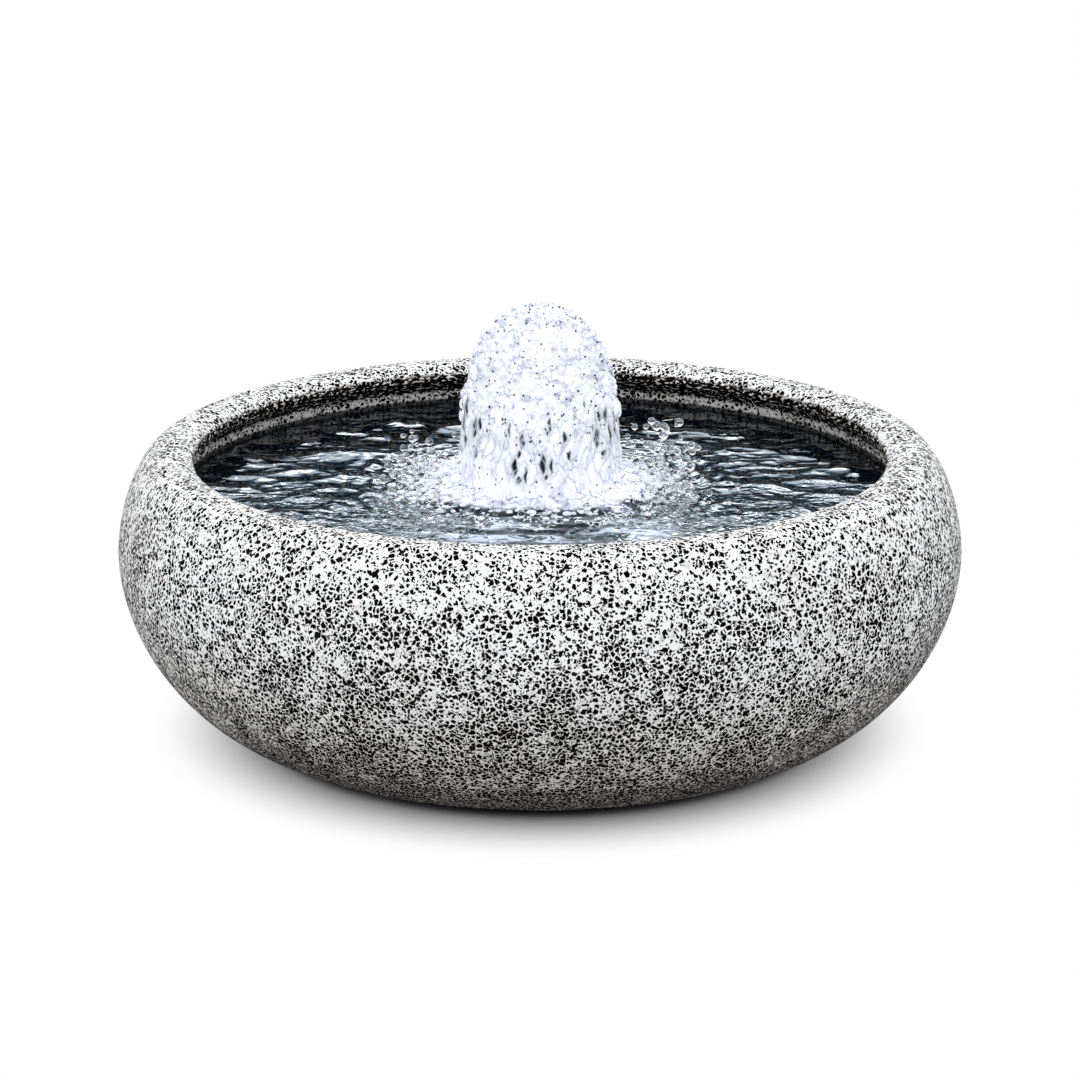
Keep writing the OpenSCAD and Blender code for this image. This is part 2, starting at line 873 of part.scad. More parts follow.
// Valve body: a spigot below, a barrel across and the ball's cup on top
module valve_body() {
    color([0.14, 0.15, 0.16])
        difference() {
            union() {
                rod_z(spigot_r, valve_foot, valve_z);
                translate([0, 0, valve_z]) rod_x(barrel_r, -barrel_x, barrel_x);
                rod_z(cup_r, cup_foot, ball_z);
                rod_z(valve_neck_r, valve_z, cup_foot);
            }
            rod_z(way_r, valve_foot - cut, ball_z);
            translate([0, 0, valve_z]) rod_x(plug_r + run, -plug_x, barrel_x + cut);
            translate([0, 0, ball_z]) sphere(r = ball_r + ball_gap);
            translate([0, 0, ball_z - cup_oring_off * cos(45)])
                round_ring(cup_oring_off * sin(45), cup_oring_r + seat / 2);
        }
}

// Turning plug with its way through, and its stem
module valve_plug() {
    color([0.8, 0.8, 0.76])
        translate([0, 0, valve_z])
            difference() {
                union() {
                    rod_x(plug_r, -plug_x + seat, plug_x);
                    rod_x(stem_x_r, plug_x - 1, stem_len);
                }
                rod_z(plug_way_r, -2 * plug_r, 2 * plug_r);
            }
}

// Screwed ring that holds the plug in
module valve_gland() {
    color([0.3, 0.3, 0.32])
        translate([0, 0, valve_z])
            difference() {
                union() {
                    rod_x(plug_r - run, barrel_x - gland_in, barrel_x);
                    translate([barrel_x, 0, 0]) rotate([0, 90, 0])
                        cylinder(d = gland_d, h = gland_flange, $fn = 6);
                }
                rod_x(stem_x_r + run, 0, barrel_x + gland_flange + cut);
            }
}

// Lever on the stem, in line with the pipe when the valve is open
module valve_lever() {
    start = barrel_x + gland_flange + lever_gap;
    end_r = lever_w / 2;
    color([0.75, 0.12, 0.1])
        translate([start, 0, valve_z])
            difference() {
                union() {
                    rod_x(lever_hub_r, 0, lever_t);
                    rotate([90, 0, 90])
                        linear_extrude(lever_t)
                            polygon(concat([[lever_hub_r * 0.9, 0], [-lever_hub_r * 0.9, 0]],
                                [for (t = [180:15:360])
                                    [end_r * cos(t), end_r - lever_len + end_r * sin(t)]]));
                }
                rod_x(stem_x_r + seat, -cut, stem_len - start);
            }
}

// Ring seal under the ball
module ball_seal() {
    color([0.05, 0.05, 0.05])
        translate([0, 0, ball_z - cup_oring_off * cos(45)])
            round_ring(cup_oring_off * sin(45), cup_oring_r);
}

// Nut that holds the ball and its ring in the cup
module union_nut() {
    color([0.18, 0.19, 0.2])
        difference() {
            union() {
                rod_z(union_r, union_foot, union_top);
                for (i = [0:grips - 1])
                    rotate([0, 0, 360 * i / grips])
                        translate([union_r, 0, 0]) rod_z(grip_r, union_foot, grip_top);
            }
            rod_z(cup_r + seat, union_foot - cut, ball_z + 2 * seat);
            rod_z(ring_out_r + run, ball_z, union_lip);
            rod_z(union_way_r, ball_z, union_top + cut);
            translate([0, 0, ball_z]) sphere(r = ball_r + 2 * ball_gap);
        }
}

// Slip ring above the ball, which lets it turn under the nut
module swivel_ring() {
    color([0.93, 0.93, 0.9])
        difference() {
            rod_z(ring_out_r, ring_foot, union_lip - seat);
            translate([0, 0, ball_z]) sphere(r = ball_r + ball_gap);
        }
}

// Hollow ball with the nozzle's stem
module nozzle_ball() {
    color([0.7, 0.56, 0.3])
        difference() {
            union() {
                translate([0, 0, ball_z]) sphere(r = ball_r);
                rod_z(nozzle_stem_r, ball_z, stem_top);
            }
            rod_z(nozzle_way_r, ball_z - 2 * ball_r, stem_top + cut);
            rod_z(2 * ball_r, ball_z - 2 * ball_r, ball_z - ball_flat);
        }
}

// Head that screws onto the stem and holds the plate of jets
module nozzle_head() {
    edge = 1;
    plate_foot = head_top - plate_t;
    color([0.72, 0.58, 0.32])
        rotate_extrude()
            polygon([[nozzle_stem_r + run, head_foot], [head_r - edge, head_foot],
                [head_r, head_foot + edge], [head_r, head_top], [plate_r + run, head_top],
                [plate_r + run, plate_foot], [head_room_r, plate_foot], [head_room_r, head_room_foot],
                [nozzle_stem_r + run, head_room_foot]]);
}

module jet_plate() {
    color([0.8, 0.8, 0.82])
        difference() {
            rod_z(plate_r, head_top - plate_t, head_top);
            rod_z(mid_jet_r, head_top - plate_t - cut, head_top + cut);
            for (i = [0:outer_jets - 1])
                rotate([0, 0, 360 * i / outer_jets])
                    translate([outer_jet_ring, 0, 0])
                        rod_z(outer_jet_r, head_top - plate_t - cut, head_top + cut);
        }
}

// Sleeve round the head, open below, in which the jets draw in air and water
module air_sleeve() {
    hub_in = head_r + seat;
    hub_out = hub_in + sleeve_hub_wall;
    hub_foot = head_foot + 2;
    edge = 0.6;
    color([0.68, 0.54, 0.28])
        union() {
            rotate_extrude()
                polygon([[sleeve_r - sleeve_wall, sleeve_foot], [sleeve_r, sleeve_foot],
                    [sleeve_r, tip_z - edge], [sleeve_r - edge, tip_z],
                    [sleeve_r - sleeve_wall, tip_z]]);
            difference() {
                union() {
                    rod_z(hub_out, hub_foot, hub_foot + sleeve_hub_h);
                    for (i = [0:webs - 1])
                        rotate([0, 0, 360 * i / webs + 90])
                            translate([hub_in, -web_t / 2, sleeve_foot])
                                cube([sleeve_r - hub_in - sleeve_wall / 2, web_t, sleeve_hub_h - 2]);
                }
                rod_z(hub_in, hub_foot - cut, hub_foot + sleeve_hub_h + cut);
            }
        }
}

// Height of the rippled surface: rings that run out from the jet, crossed by others
function ripple(r, a) =
    let (grow = ease((r - calm_r) / wave_grow) * ease((pool_r - r) / wave_fade + 0.4))
    let (crossing = [for (w = cross_waves) w[2] * sin(r * (w[0] * cos(a) + w[1] * sin(a)))])
        ripple_h * grow * (ring_share * sin(ring_wave * r) + crossing[0] + crossing[1]);

// Surface layer of the water, with a hole in the middle where the nozzle moves
module water_pool() {
    radii = concat([pool_hole_r, (pool_hole_r + ring_r) / 2, ring_r],
        [for (k = [0:pool_rings]) calm_r + (pool_r - calm_r) * k / pool_rings]);
    tops = [for (r = radii) [for (i = [0:pool_turns - 1])
        let (a = 360 * i / pool_turns) [r * cos(a), r * sin(a), water_z + ripple(r, a)]]];
    foot = [for (r = [pool_r, pool_hole_r]) [for (i = [0:pool_turns - 1])
        let (a = 360 * i / pool_turns) [r * cos(a), r * sin(a), pool_z]]];
    rings = concat(tops, foot);
    color([0.07, 0.13, 0.18])
        polyhedron([for (ring = rings) each ring], band_faces(len(rings), pool_turns));
}

// Height of the foam round the foot of the jet, u from 0 inside to 1 outside
function splash_top(u, a) =
    splash_h * (1 - u) * (0.75 + 0.25 * sin(11 * a + 200 * u))
    + 0.25 * splash_h * sin(180 * u) * (1 + sin(7 * a));

function splash_edge(a) = splash_r * (0.955 + 0.03 * sin(5 * a) + 0.015 * sin(13 * a + 40));

// Ring of foam where the falling water lands
module splash_ring() {
    edge_h = 0.4;
    tops = [for (k = [0:splash_rings]) [for (i = [0:splash_turns - 1])
        let (a = 360 * i / splash_turns, u = k / splash_rings)
        let (r = ring_r + (splash_edge(a) - ring_r) * u)
            [r * cos(a), r * sin(a), water_z + edge_h + splash_top(u, a)]]];
    foot = [for (k = [splash_rings, 0]) [for (i = [0:splash_turns - 1])
        let (a = 360 * i / splash_turns, r = k == 0 ? ring_r : splash_edge(a))
            [r * cos(a), r * sin(a), water_z]]];
    rings = concat(tops, foot);
    color([0.9, 0.93, 0.96])
        polyhedron([for (ring = rings) each ring], band_faces(len(rings), splash_turns));
}

// Radius of the jet at t from 0 at the surface to 1 at its top: it narrows, then closes in a dome
function jet_width(t) = jet_r * (1 - 0.22 * pow(t, 1.6)) * sqrt(1 - pow(t, 9));

// Strands and lumps in the foam, none at the foot
function jet_lumps(t, a) = 1 + ease(t * 4) * (0.018 * sin(9 * a + 260 * t) + 0.014 * sin(14 * a - 420 * t));

// Column of foam that the nozzle throws up
module water_jet() {
    rise = jet_h - water_gap;
    rings = [for (k = [0:jet_rings - 1])
        let (t = sin(90 * k / jet_rings))
            [for (i = [0:jet_turns - 1])
                let (a = 360 * i / jet_turns, r = jet_width(t) * jet_lumps(t, a))
                    [r * cos(a), r * sin(a), jet_foot + rise * t]]];
    n = jet_turns;
    last = jet_rings - 1;
    low = jet_rings * n;
    high = low + 1;
    sides = [for (k = [0:last - 1]) for (i = [0:n - 1])
        let (a = k * n + i, d = k * n + (i + 1) % n, b = a + n, c = d + n)
            for (f = [[a, b, c], [a, c, d]]) f];
    under = [for (i = [0:n - 1]) [low, i, (i + 1) % n]];
    crown = [for (i = [0:n - 1]) [high, last * n + (i + 1) % n, last * n + i]];
    color([0.93, 0.95, 0.98])
        polyhedron(concat([for (ring = rings) each ring], [[0, 0, jet_foot], [0, 0, jet_foot + rise]]),
            concat(sides, under, crown));
}

bowl();
rubber_pads();
drain_body();
drain_seal();
drain_washer();
drain_nut();
drain_plug();
plug_oring();
cable_bung();
pump_housing();
motor_cap();
stator_core();
stator_winding();
housing_screws();
suction_feet();
pump_casing();
intake_cover();
cover_oring();
rotor_shaft();
front_bush();
rear_bush();
impeller();
rotor_magnet();
strainer();
riser_tube();
valve_body();
valve_plug();
valve_gland();
valve_lever();
ball_seal();
union_nut();
swivel_ring();
nozzle_ball();
nozzle_head();
jet_plate();
air_sleeve();
water_pool();
splash_ring();
water_jet();
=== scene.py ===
import json
import math
from itertools import product

import bmesh
import bpy
import numpy as np
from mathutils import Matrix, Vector

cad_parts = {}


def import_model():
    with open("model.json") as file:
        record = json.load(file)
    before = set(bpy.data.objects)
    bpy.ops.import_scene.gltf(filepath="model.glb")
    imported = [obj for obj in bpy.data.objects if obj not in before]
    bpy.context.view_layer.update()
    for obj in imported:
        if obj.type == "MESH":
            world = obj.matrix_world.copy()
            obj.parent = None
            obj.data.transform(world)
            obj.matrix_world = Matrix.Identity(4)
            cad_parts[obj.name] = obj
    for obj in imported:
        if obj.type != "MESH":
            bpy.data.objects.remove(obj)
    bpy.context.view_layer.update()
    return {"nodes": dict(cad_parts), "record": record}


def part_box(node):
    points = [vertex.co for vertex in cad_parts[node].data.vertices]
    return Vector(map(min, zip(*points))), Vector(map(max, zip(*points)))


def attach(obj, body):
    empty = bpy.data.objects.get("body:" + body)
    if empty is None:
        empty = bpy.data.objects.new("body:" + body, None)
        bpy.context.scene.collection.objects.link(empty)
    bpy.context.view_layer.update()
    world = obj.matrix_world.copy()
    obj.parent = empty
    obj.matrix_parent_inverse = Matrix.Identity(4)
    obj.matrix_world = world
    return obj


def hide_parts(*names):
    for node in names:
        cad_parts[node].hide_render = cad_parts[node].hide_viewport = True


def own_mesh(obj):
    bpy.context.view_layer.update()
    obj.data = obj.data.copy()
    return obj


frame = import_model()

MM = 0.001
TURN = 2 * math.pi
SEED = 41

# Bowl, as its CAD node is drawn
BOWL_R = 350 * MM
BOWL_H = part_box("bowl")[1].z
BELLY_Z = 156 * MM
BASE_R = 210 * MM
BASE_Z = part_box("bowl")[0].z
CREST_OUT_R = 314 * MM
CREST_IN_R = 304 * MM
MOUTH_R = 285.5 * MM
LIP_DROP = 12 * MM
UNDERCUT = 11.5 * MM
UNDERCUT_H = 14 * MM
BELLY_IN_R = 299 * MM
FLOOR_R = 190 * MM
FLOOR_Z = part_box("drain_body")[1].z
LOW_CURVE = 1.87
UP_CURVE = 1.7
IN_CURVE = 2.2

# Water
POOL_LOW, POOL_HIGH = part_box("water_pool")
POOL_R = POOL_HIGH.x
WATER_Z = POOL_LOW.z + 16 * MM
JET_R = 70 * MM
JET_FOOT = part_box("water_jet")[0].z
JET_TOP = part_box("water_jet")[1].z
JET_RISE = JET_TOP - JET_FOOT
SPLASH_R = 120 * MM


# Numbers that look random but are the same on each run

def hashed(ix, iy, iz, salt):
    """Three numbers from 0 to 1 for each cell of a grid. Large primes scatter the bits."""
    key = (ix * 73856093) ^ (iy * 19349663) ^ (iz * 83492791) ^ (salt * 2654435761)
    out = []
    for k in range(3):
        h = (key + k * 374761393) & 0xFFFFFFFF
        h = ((h ^ (h >> 13)) * 1274126177) & 0xFFFFFFFF
        h = ((h ^ (h >> 16)) * 2246822519) & 0xFFFFFFFF
        out.append((h ^ (h >> 15)) / 4294967295.0)
    return out


def cells(points, size, salt):
    """Distances to the nearest and the second nearest of scattered seeds, in cell sizes, and a
    number from 0 to 1 that belongs to the nearest one."""
    p = points / size
    base = np.floor(p).astype(np.int64)
    first = np.full(len(p), 9.0)
    second = np.full(len(p), 9.0)
    tag = np.zeros(len(p))
    for offset in product((-1, 0, 1), repeat=3):
        cell = base + offset
        h = hashed(cell[:, 0], cell[:, 1], cell[:, 2], salt)
        distance = np.linalg.norm(p - (cell + np.stack(h, 1)), axis=1)
        nearer = distance < first
        second = np.where(nearer, first, np.minimum(second, distance))
        tag = np.where(nearer, (h[0] * 7.3 + h[2]) % 1.0, tag)
        first = np.minimum(first, distance)
    return first, second, tag


def smooth(t):
    """Smooth step from 0 to 1."""
    t = np.clip(t, 0, 1)
    return t * t * (3 - 2 * t)


def dome(distance):
    """Height of a round bubble at a distance from its middle."""
    return np.sqrt(np.clip(1 - distance ** 2, 0, 1))


def border(near, far, width):
    """1 on the border between two cells, 0 beyond the width."""
    return np.clip(1 - (far - near) / width, 0, 1)


# Meshes

def polar(r, a, z):
    """Points at a distance from the axis, a turn round it and a height."""
    return np.stack(np.broadcast_arrays(r * np.cos(a), r * np.sin(a), z), -1)


def turns_round(count):
    """Angles that divide one turn evenly."""
    return np.linspace(0, TURN, count, endpoint=False)


def grid(values, turns):
    """Each value beside each turn round the axis, as two flat arrays."""
    return (m.ravel() for m in np.meshgrid(values, turns_round(turns), indexing="ij"))


def plain_object(name, points, faces):
    """An object from points and faces, in the scene."""
    mesh = bpy.data.meshes.new(name)
    mesh.from_pydata([tuple(p) for p in points], [], faces)
    mesh.validate()
    mesh.update()
    o = bpy.data.objects.new(name, mesh)
    bpy.context.scene.collection.objects.link(o)
    return o


def shade_smooth(piece):
    piece.data.polygons.foreach_set("use_smooth", [True] * len(piece.data.polygons))


def mesh_piece(name, points, faces, material, body, nodes=()):
    """A named piece from points and faces, riding on a body and standing for CAD nodes."""
    piece = plain_object(name, points, faces)
    shade_smooth(piece)
    piece.data.materials.append(material)
    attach(piece, body)
    if nodes:
        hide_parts(*nodes)
    return piece


def band(rows, turns):
    """Quads between rings of points, each ring with as many points."""
    faces = []
    for low in range(0, (rows - 1) * turns, turns):
        for i in range(turns):
            j = (i + 1) % turns
            faces.append((low + i, low + j, low + turns + j, low + turns + i))
    return faces


def capped_band(rows, turns):
    """Quads between rings, closed by the two points after them: first row's end, last row's end."""
    last, middle = (rows - 1) * turns, rows * turns
    faces = band(rows, turns)
    faces += [(middle, (i + 1) % turns, i) for i in range(turns)]
    faces += [(middle + 1, last + i, last + (i + 1) % turns) for i in range(turns)]
    return faces


def revolve(profile, turns):
    """Points and faces of a profile of (r, z), from the axis back to the axis, turned about Z."""
    (_, start), *line, (_, end) = profile
    points = [(r * math.cos(a), r * math.sin(a), z) for r, z in line for a in turns_round(turns)]
    return points + [(0, 0, start), (0, 0, end)], capped_band(len(line), turns)


def cut_with(piece, cutter):
    """Takes the cutter's shape out of a piece."""
    modifier = piece.modifiers.new("cut", "BOOLEAN")
    modifier.operation = "DIFFERENCE"
    modifier.solver = "EXACT"
    modifier.object = cutter
    bpy.context.view_layer.objects.active = piece
    bpy.ops.object.modifier_apply(modifier=modifier.name)
    bpy.data.objects.remove(cutter)


def join_close(piece):
    """Joins points that lie on each other and makes the faces look outward."""
    work = bmesh.new()
    work.from_mesh(piece.data)
    bmesh.ops.remove_doubles(work, verts=work.verts, dist=1e-6)
    bmesh.ops.recalc_face_normals(work, faces=work.faces)
    work.to_mesh(piece.data)
    work.free()


# Shader nodes. Scales are in cells to the metre.

def add(tree, kind, inputs=None, **settings):
    """A node with its settings, and its inputs set or linked by name or number."""
    node = tree.nodes.new("ShaderNode" + kind)
    for key, value in settings.items():
        setattr(node, key, value)
    for key, value in (inputs or {}).items():
        socket = node.inputs[key]
        if isinstance(value, bpy.types.NodeSocket):
            tree.links.new(value, socket)
        else:
            socket.default_value = value
    return node


def new_material(name):
    """A material, its empty node tree and the place of each point in metres."""
    material = bpy.data.materials.new(name)
    material.use_nodes = True
    tree = material.node_tree
    tree.nodes.clear()
    return material, tree, add(tree, "TexCoord").outputs["Object"]


def rgb(r, g, b):
    return (r, g, b, 1.0)


def grey(level):
    return rgb(level, level, level)


def calc(tree, operation, a, b=0.0, c=0.0):
    return add(tree, "Math", {0: a, 1: b, 2: c}, operation=operation).outputs[0]


def times(tree, value, *factors):
    """A value multiplied by each of the factors."""
    for factor in factors:
        value = calc(tree, "MULTIPLY", value, factor)
    return value


def mix_in(tree, value, factor, more):
    """value * factor + more"""
    return calc(tree, "MULTIPLY_ADD", value, factor, more)


def larger(tree, a, b):
    return calc(tree, "MAXIMUM", a, b)


def from_middle(tree, value):
    """How far a value is from 0.5."""
    return calc(tree, "ABSOLUTE", calc(tree, "SUBTRACT", value, 0.5))


def step(tree, value, low, high, out_low=0.0, out_high=1.0):
    """Smooth step of a value."""
    node = add(tree, "MapRange", {"Value": value, "From Min": low, "From Max": high,
                                  "To Min": out_low, "To Max": out_high})
    node.interpolation_type = "SMOOTHSTEP"
    return node.outputs["Result"]


def layered(tree, colour, *layers):
    """A colour with others laid over it in turn, each given as (share, colour)."""
    for share, other in layers:
        colour = add(tree, "Mix", {0: share, 6: colour, 7: other}, data_type="RGBA").outputs[2]
    return colour


def noise(tree, where, scale, detail, roughness=0.5, output="Fac"):
    return add(tree, "TexNoise", {"Vector": where, "Scale": scale, "Detail": detail,
                                  "Roughness": roughness}).outputs[output]


def voronoi(tree, where, scale, **settings):
    return add(tree, "TexVoronoi", {"Vector": where, "Scale": scale}, **settings)


def edge_distance(tree, where, scale):
    """Distance to the nearest border between Voronoi cells."""
    return voronoi(tree, where, scale, feature="DISTANCE_TO_EDGE").outputs["Distance"]


def first_parts(tree, colour):
    """Red and green of a colour, used as two numbers of a cell."""
    parts = add(tree, "SeparateColor", {0: colour}).outputs
    return parts[0], parts[1]


def part_of(tree, place, axis):
    """One part of a place: 0 for X, 1 for Y, 2 for Z."""
    return add(tree, "SeparateXYZ", {0: place}).outputs[axis]


def stretched(tree, where, x, y, z):
    return add(tree, "Mapping", {"Vector": where, "Scale": (x, y, z)}).outputs[0]


def from_axis(tree, place):
    """Distance from the axis of the bowl."""
    flat = stretched(tree, place, 1, 1, 0)
    return add(tree, "VectorMath", {0: flat}, operation="LENGTH").outputs["Value"]


def shifted(tree, where, place, scale, detail, reach, centred=False):
    """A place moved by noise, each way by up to the reach, or half of it if centred."""
    shift = noise(tree, place, scale, detail, output="Color")
    if centred:
        shift = add(tree, "VectorMath", {0: shift, 1: (0.5, 0.5, 0.5)}, operation="SUBTRACT")
        shift = shift.outputs[0]
    shift = add(tree, "VectorMath", {0: shift, "Scale": reach}, operation="SCALE").outputs[0]
    return add(tree, "VectorMath", {0: where, 1: shift}, operation="ADD").outputs[0]


def finish_material(tree, inputs, bump=None, bump_size=1.0, bump_height=MM):
    """The surface shader and the output."""
    if bump is not None:
        normal = add(tree, "Bump", {"Height": bump, "Strength": bump_size,
                                    "Distance": bump_height}).outputs[0]
        inputs = {**inputs, "Normal": normal}
    shader = add(tree, "BsdfPrincipled", inputs)
    add(tree, "OutputMaterial", {"Surface": shader.outputs[0]})


# Materials

def grains(tree, where, scale, share, fill):
    """Dark grains of one size: cores of cells, each as large as its own chance and the share let
    it be. Gives where they are, and a tone for each."""
    cell = voronoi(tree, where, scale).outputs["Color"]
    chance, tone = first_parts(tree, cell)
    bound = mix_in(tree, chance, mix_in(tree, share, -0.5, fill), 0.035)
    core = calc(tree, "SUBTRACT", edge_distance(tree, where, scale), bound)
    return step(tree, core, -0.012, 0.022), tone


def granite():
    """Salt and pepper stone: dark grains with light seams between them, in a white ground."""
    large_scale, small_scale = 252.0, 405.0
    material, tree, place = new_material("granite")
    warped = shifted(tree, place, place, 420, 2, 2.8 * MM, centred=True)
    height = part_of(tree, place, 2)
    radius = from_axis(tree, place)

    lip_foot = BOWL_H - LIP_DROP
    inside = step(tree, radius, BELLY_IN_R + 3 * MM, BELLY_IN_R + 1 * MM)
    # Painted shade inside the bowl below the lip: more dark grains and a darker, warmer ground
    below_lip_shade = times(tree, inside, step(tree, height, lip_foot + 7 * MM, lip_foot + 3 * MM))
    # Painted shade: dark dashes from the lip down to a little above the water
    undercut_shade = times(tree, below_lip_shade, step(tree, height, WATER_Z + 9 * MM, WATER_Z + 12 * MM))
    wet = times(tree, step(tree, height, WATER_Z + 5 * MM, WATER_Z + 2.5 * MM),
                step(tree, height, FLOOR_Z + 30 * MM, FLOOR_Z + 60 * MM), inside)

    # Share of the dark grains: by clouds and upright streaks, and more on the lip's edge; painted
    # light makes it less on the crown, painted shade more low down and below the lip
    clouds = noise(tree, place, 34, 2)
    streaks = noise(tree, stretched(tree, place, 24, 24, 4.0), 1.0, 2)
    painted_crown_light = step(tree, height, 0.165, 0.232, 0.0, 0.32)
    foot = step(tree, height, 0.18, 0.03, 0.0, 0.30)
    lip_edge = step(tree, height, 0.226, 0.236, 0.0, 0.16)
    share = mix_in(tree, streaks, 0.5, mix_in(tree, clouds, 0.9, -0.02))
    share = calc(tree, "SUBTRACT", share, painted_crown_light)
    for more in (foot, times(tree, below_lip_shade, 0.15), lip_edge):
        share = calc(tree, "ADD", share, more)
    share = calc(tree, "MINIMUM", larger(tree, share, 0.0), 1.1)

    large, tone = grains(tree, warped, large_scale, share, 0.58)
    small, _ = grains(tree, warped, small_scale, share, 0.86)
    turn = calc(tree, "ARCTAN2", part_of(tree, place, 1), part_of(tree, place, 0))
    across, upright = times(tree, turn, 55.0), times(tree, height, 480.0)
    unrolled = add(tree, "CombineXYZ", {0: across, 1: upright}).outputs[0]
    dashes = step(tree, noise(tree, unrolled, 1.0, 1), 0.60, 0.54)
    # Painted shade: the dark dashes under the lip join the grains
    dark = larger(tree, larger(tree, large, small), times(tree, undercut_shade, dashes))

    milky_and_painted_reflection = step(tree, noise(tree, place, 120, 3), 0.52, 0.74)
    warm = step(tree, noise(tree, place, 14, 2), 0.52, 0.75, 0.0, 0.22)
    # Painted shade: the ground darker and warmer towards the bottom
    painted_low_shade = step(tree, height, 0.17, 0.02, 0.0, 0.75)
    # Painted contact shadow: the ground nearly black on the lowest 13 mm round the foot's outer
    # edge
    painted_contact_shade = times(tree, step(tree, height, BASE_Z + 13 * MM, BASE_Z + 3 * MM, 0.0, 0.9),
                  step(tree, radius, BASE_R - 30 * MM, BASE_R - 12 * MM))
    ground = layered(tree, grey(0.97), (milky_and_painted_reflection, rgb(0.74, 0.74, 0.745)),
                     (warm, rgb(0.70, 0.66, 0.61)), (painted_low_shade, rgb(0.56, 0.53, 0.485)),
                     (times(tree, below_lip_shade, 0.6), rgb(0.84, 0.79, 0.72)),
                     (painted_contact_shade, rgb(0.02, 0.019, 0.018)))
    pepper = layered(tree, grey(0.0005), (tone, rgb(0.008, 0.006, 0.005)))
    colour = layered(tree, ground, (dark, pepper),
                     (times(tree, wet, 0.9), rgb(0.006, 0.006, 0.007)))
    rough = mix_in(tree, wet, -0.3, mix_in(tree, dark, -0.12, 0.50))
    fine = noise(tree, place, 900, 2)
    relief = mix_in(tree, dark, -0.6, times(tree, fine, 0.4))
    finish_material(tree, {"Base Color": colour, "Roughness": rough, "IOR": 1.5,
                           "Specular IOR Level": 0.0}, relief, 0.5, 0.35 * MM)
    return material


def dark_water():
    """The pool: dark and glossy, in lens-shaped ripples, with foam threads round the splash, and
    painted reflection, highlights and glow in front.
    """
    material, tree, place = new_material("dark_water")
    along = part_of(tree, place, 1)
    radius = from_axis(tree, place)
    warped = shifted(tree, place, place, 60, 2, 14 * MM)
    front = step(tree, along, 0.06, -0.20)

    # Painted reflection: pale patches with dark lines between them, close in front of the splash
    ridged = from_middle(tree, noise(tree, stretched(tree, warped, 0.8, 1.3, 1), 72, 2))
    close = times(tree, step(tree, along, -0.095, -0.13), step(tree, radius, 0.200, 0.160))
    bright = step(tree, noise(tree, stretched(tree, warped, 0.6, 1.5, 1), 36, 1), 0.43, 0.56)
    milky_and_painted_reflection = times(tree, step(tree, ridged, 0.012, 0.05), close, bright)

    # Threads of foam round the splash
    near = step(tree, radius, SPLASH_R + 40 * MM, SPLASH_R - 14 * MM)
    thread = step(tree, edge_distance(tree, warped, 150.0), 0.11, 0.03)
    patch = step(tree, mix_in(tree, near, 0.20, noise(tree, place, 95, 2)), 0.58, 0.70)
    lace = times(tree, thread, near, patch)

    # Painted highlights: thin bright streaks on the front of the pool
    wiggle = from_middle(tree, noise(tree, stretched(tree, warped, 1, 2.0, 1), 55, 2))
    painted_streak = times(tree, step(tree, wiggle, 0.022, 0.006),
                   step(tree, noise(tree, place, 30, 1), 0.48, 0.60), front)

    depth = noise(tree, place, 16, 2)
    # Painted reflection: the dark water is a little lighter in front
    colour = layered(tree, rgb(0.0002, 0.001, 0.002), (depth, rgb(0.001, 0.004, 0.008)),
                     (front, rgb(0.004, 0.012, 0.018)), (milky_and_painted_reflection, rgb(0.30, 0.36, 0.43)),
                     (lace, rgb(0.86, 0.90, 0.96)),
                     (times(tree, painted_streak, 0.65), rgb(0.62, 0.74, 0.86)))
    # Painted glow on the painted reflection and on the foam threads close in front of the splash
    painted_glow = layered(tree, grey(0), (milky_and_painted_reflection, rgb(0.33, 0.39, 0.46)),
                   (times(tree, lace, close), rgb(0.70, 0.76, 0.84)))

    # Relief: rounded cells, with fine and ridged waves that are strongest in front
    swayed = shifted(tree, stretched(tree, place, 0.8, 1, 0), place, 11, 1, 30 * MM)
    small = voronoi(tree, swayed, 78.0, voronoi_dimensions="2D").outputs["Distance"]
    some = step(tree, noise(tree, place, 20, 1), 0.35, 0.60, 0.05, 0.20)
    fine = noise(tree, stretched(tree, warped, 1, 1.5, 1), 130, 1)
    height = times(tree, small, small, some)
    height = mix_in(tree, fine, mix_in(tree, front, 0.06, 0.015), height)
    height = mix_in(tree, ridged, mix_in(tree, front, 0.60, 0.05), height)
    finish_material(tree, {"Base Color": colour, "Roughness": mix_in(tree, lace, 0.3, 0.01),
                           "IOR": 1.34, "Emission Color": painted_glow, "Emission Strength": 0.85},
                    height, 1.0, 5.5 * MM)
    return material


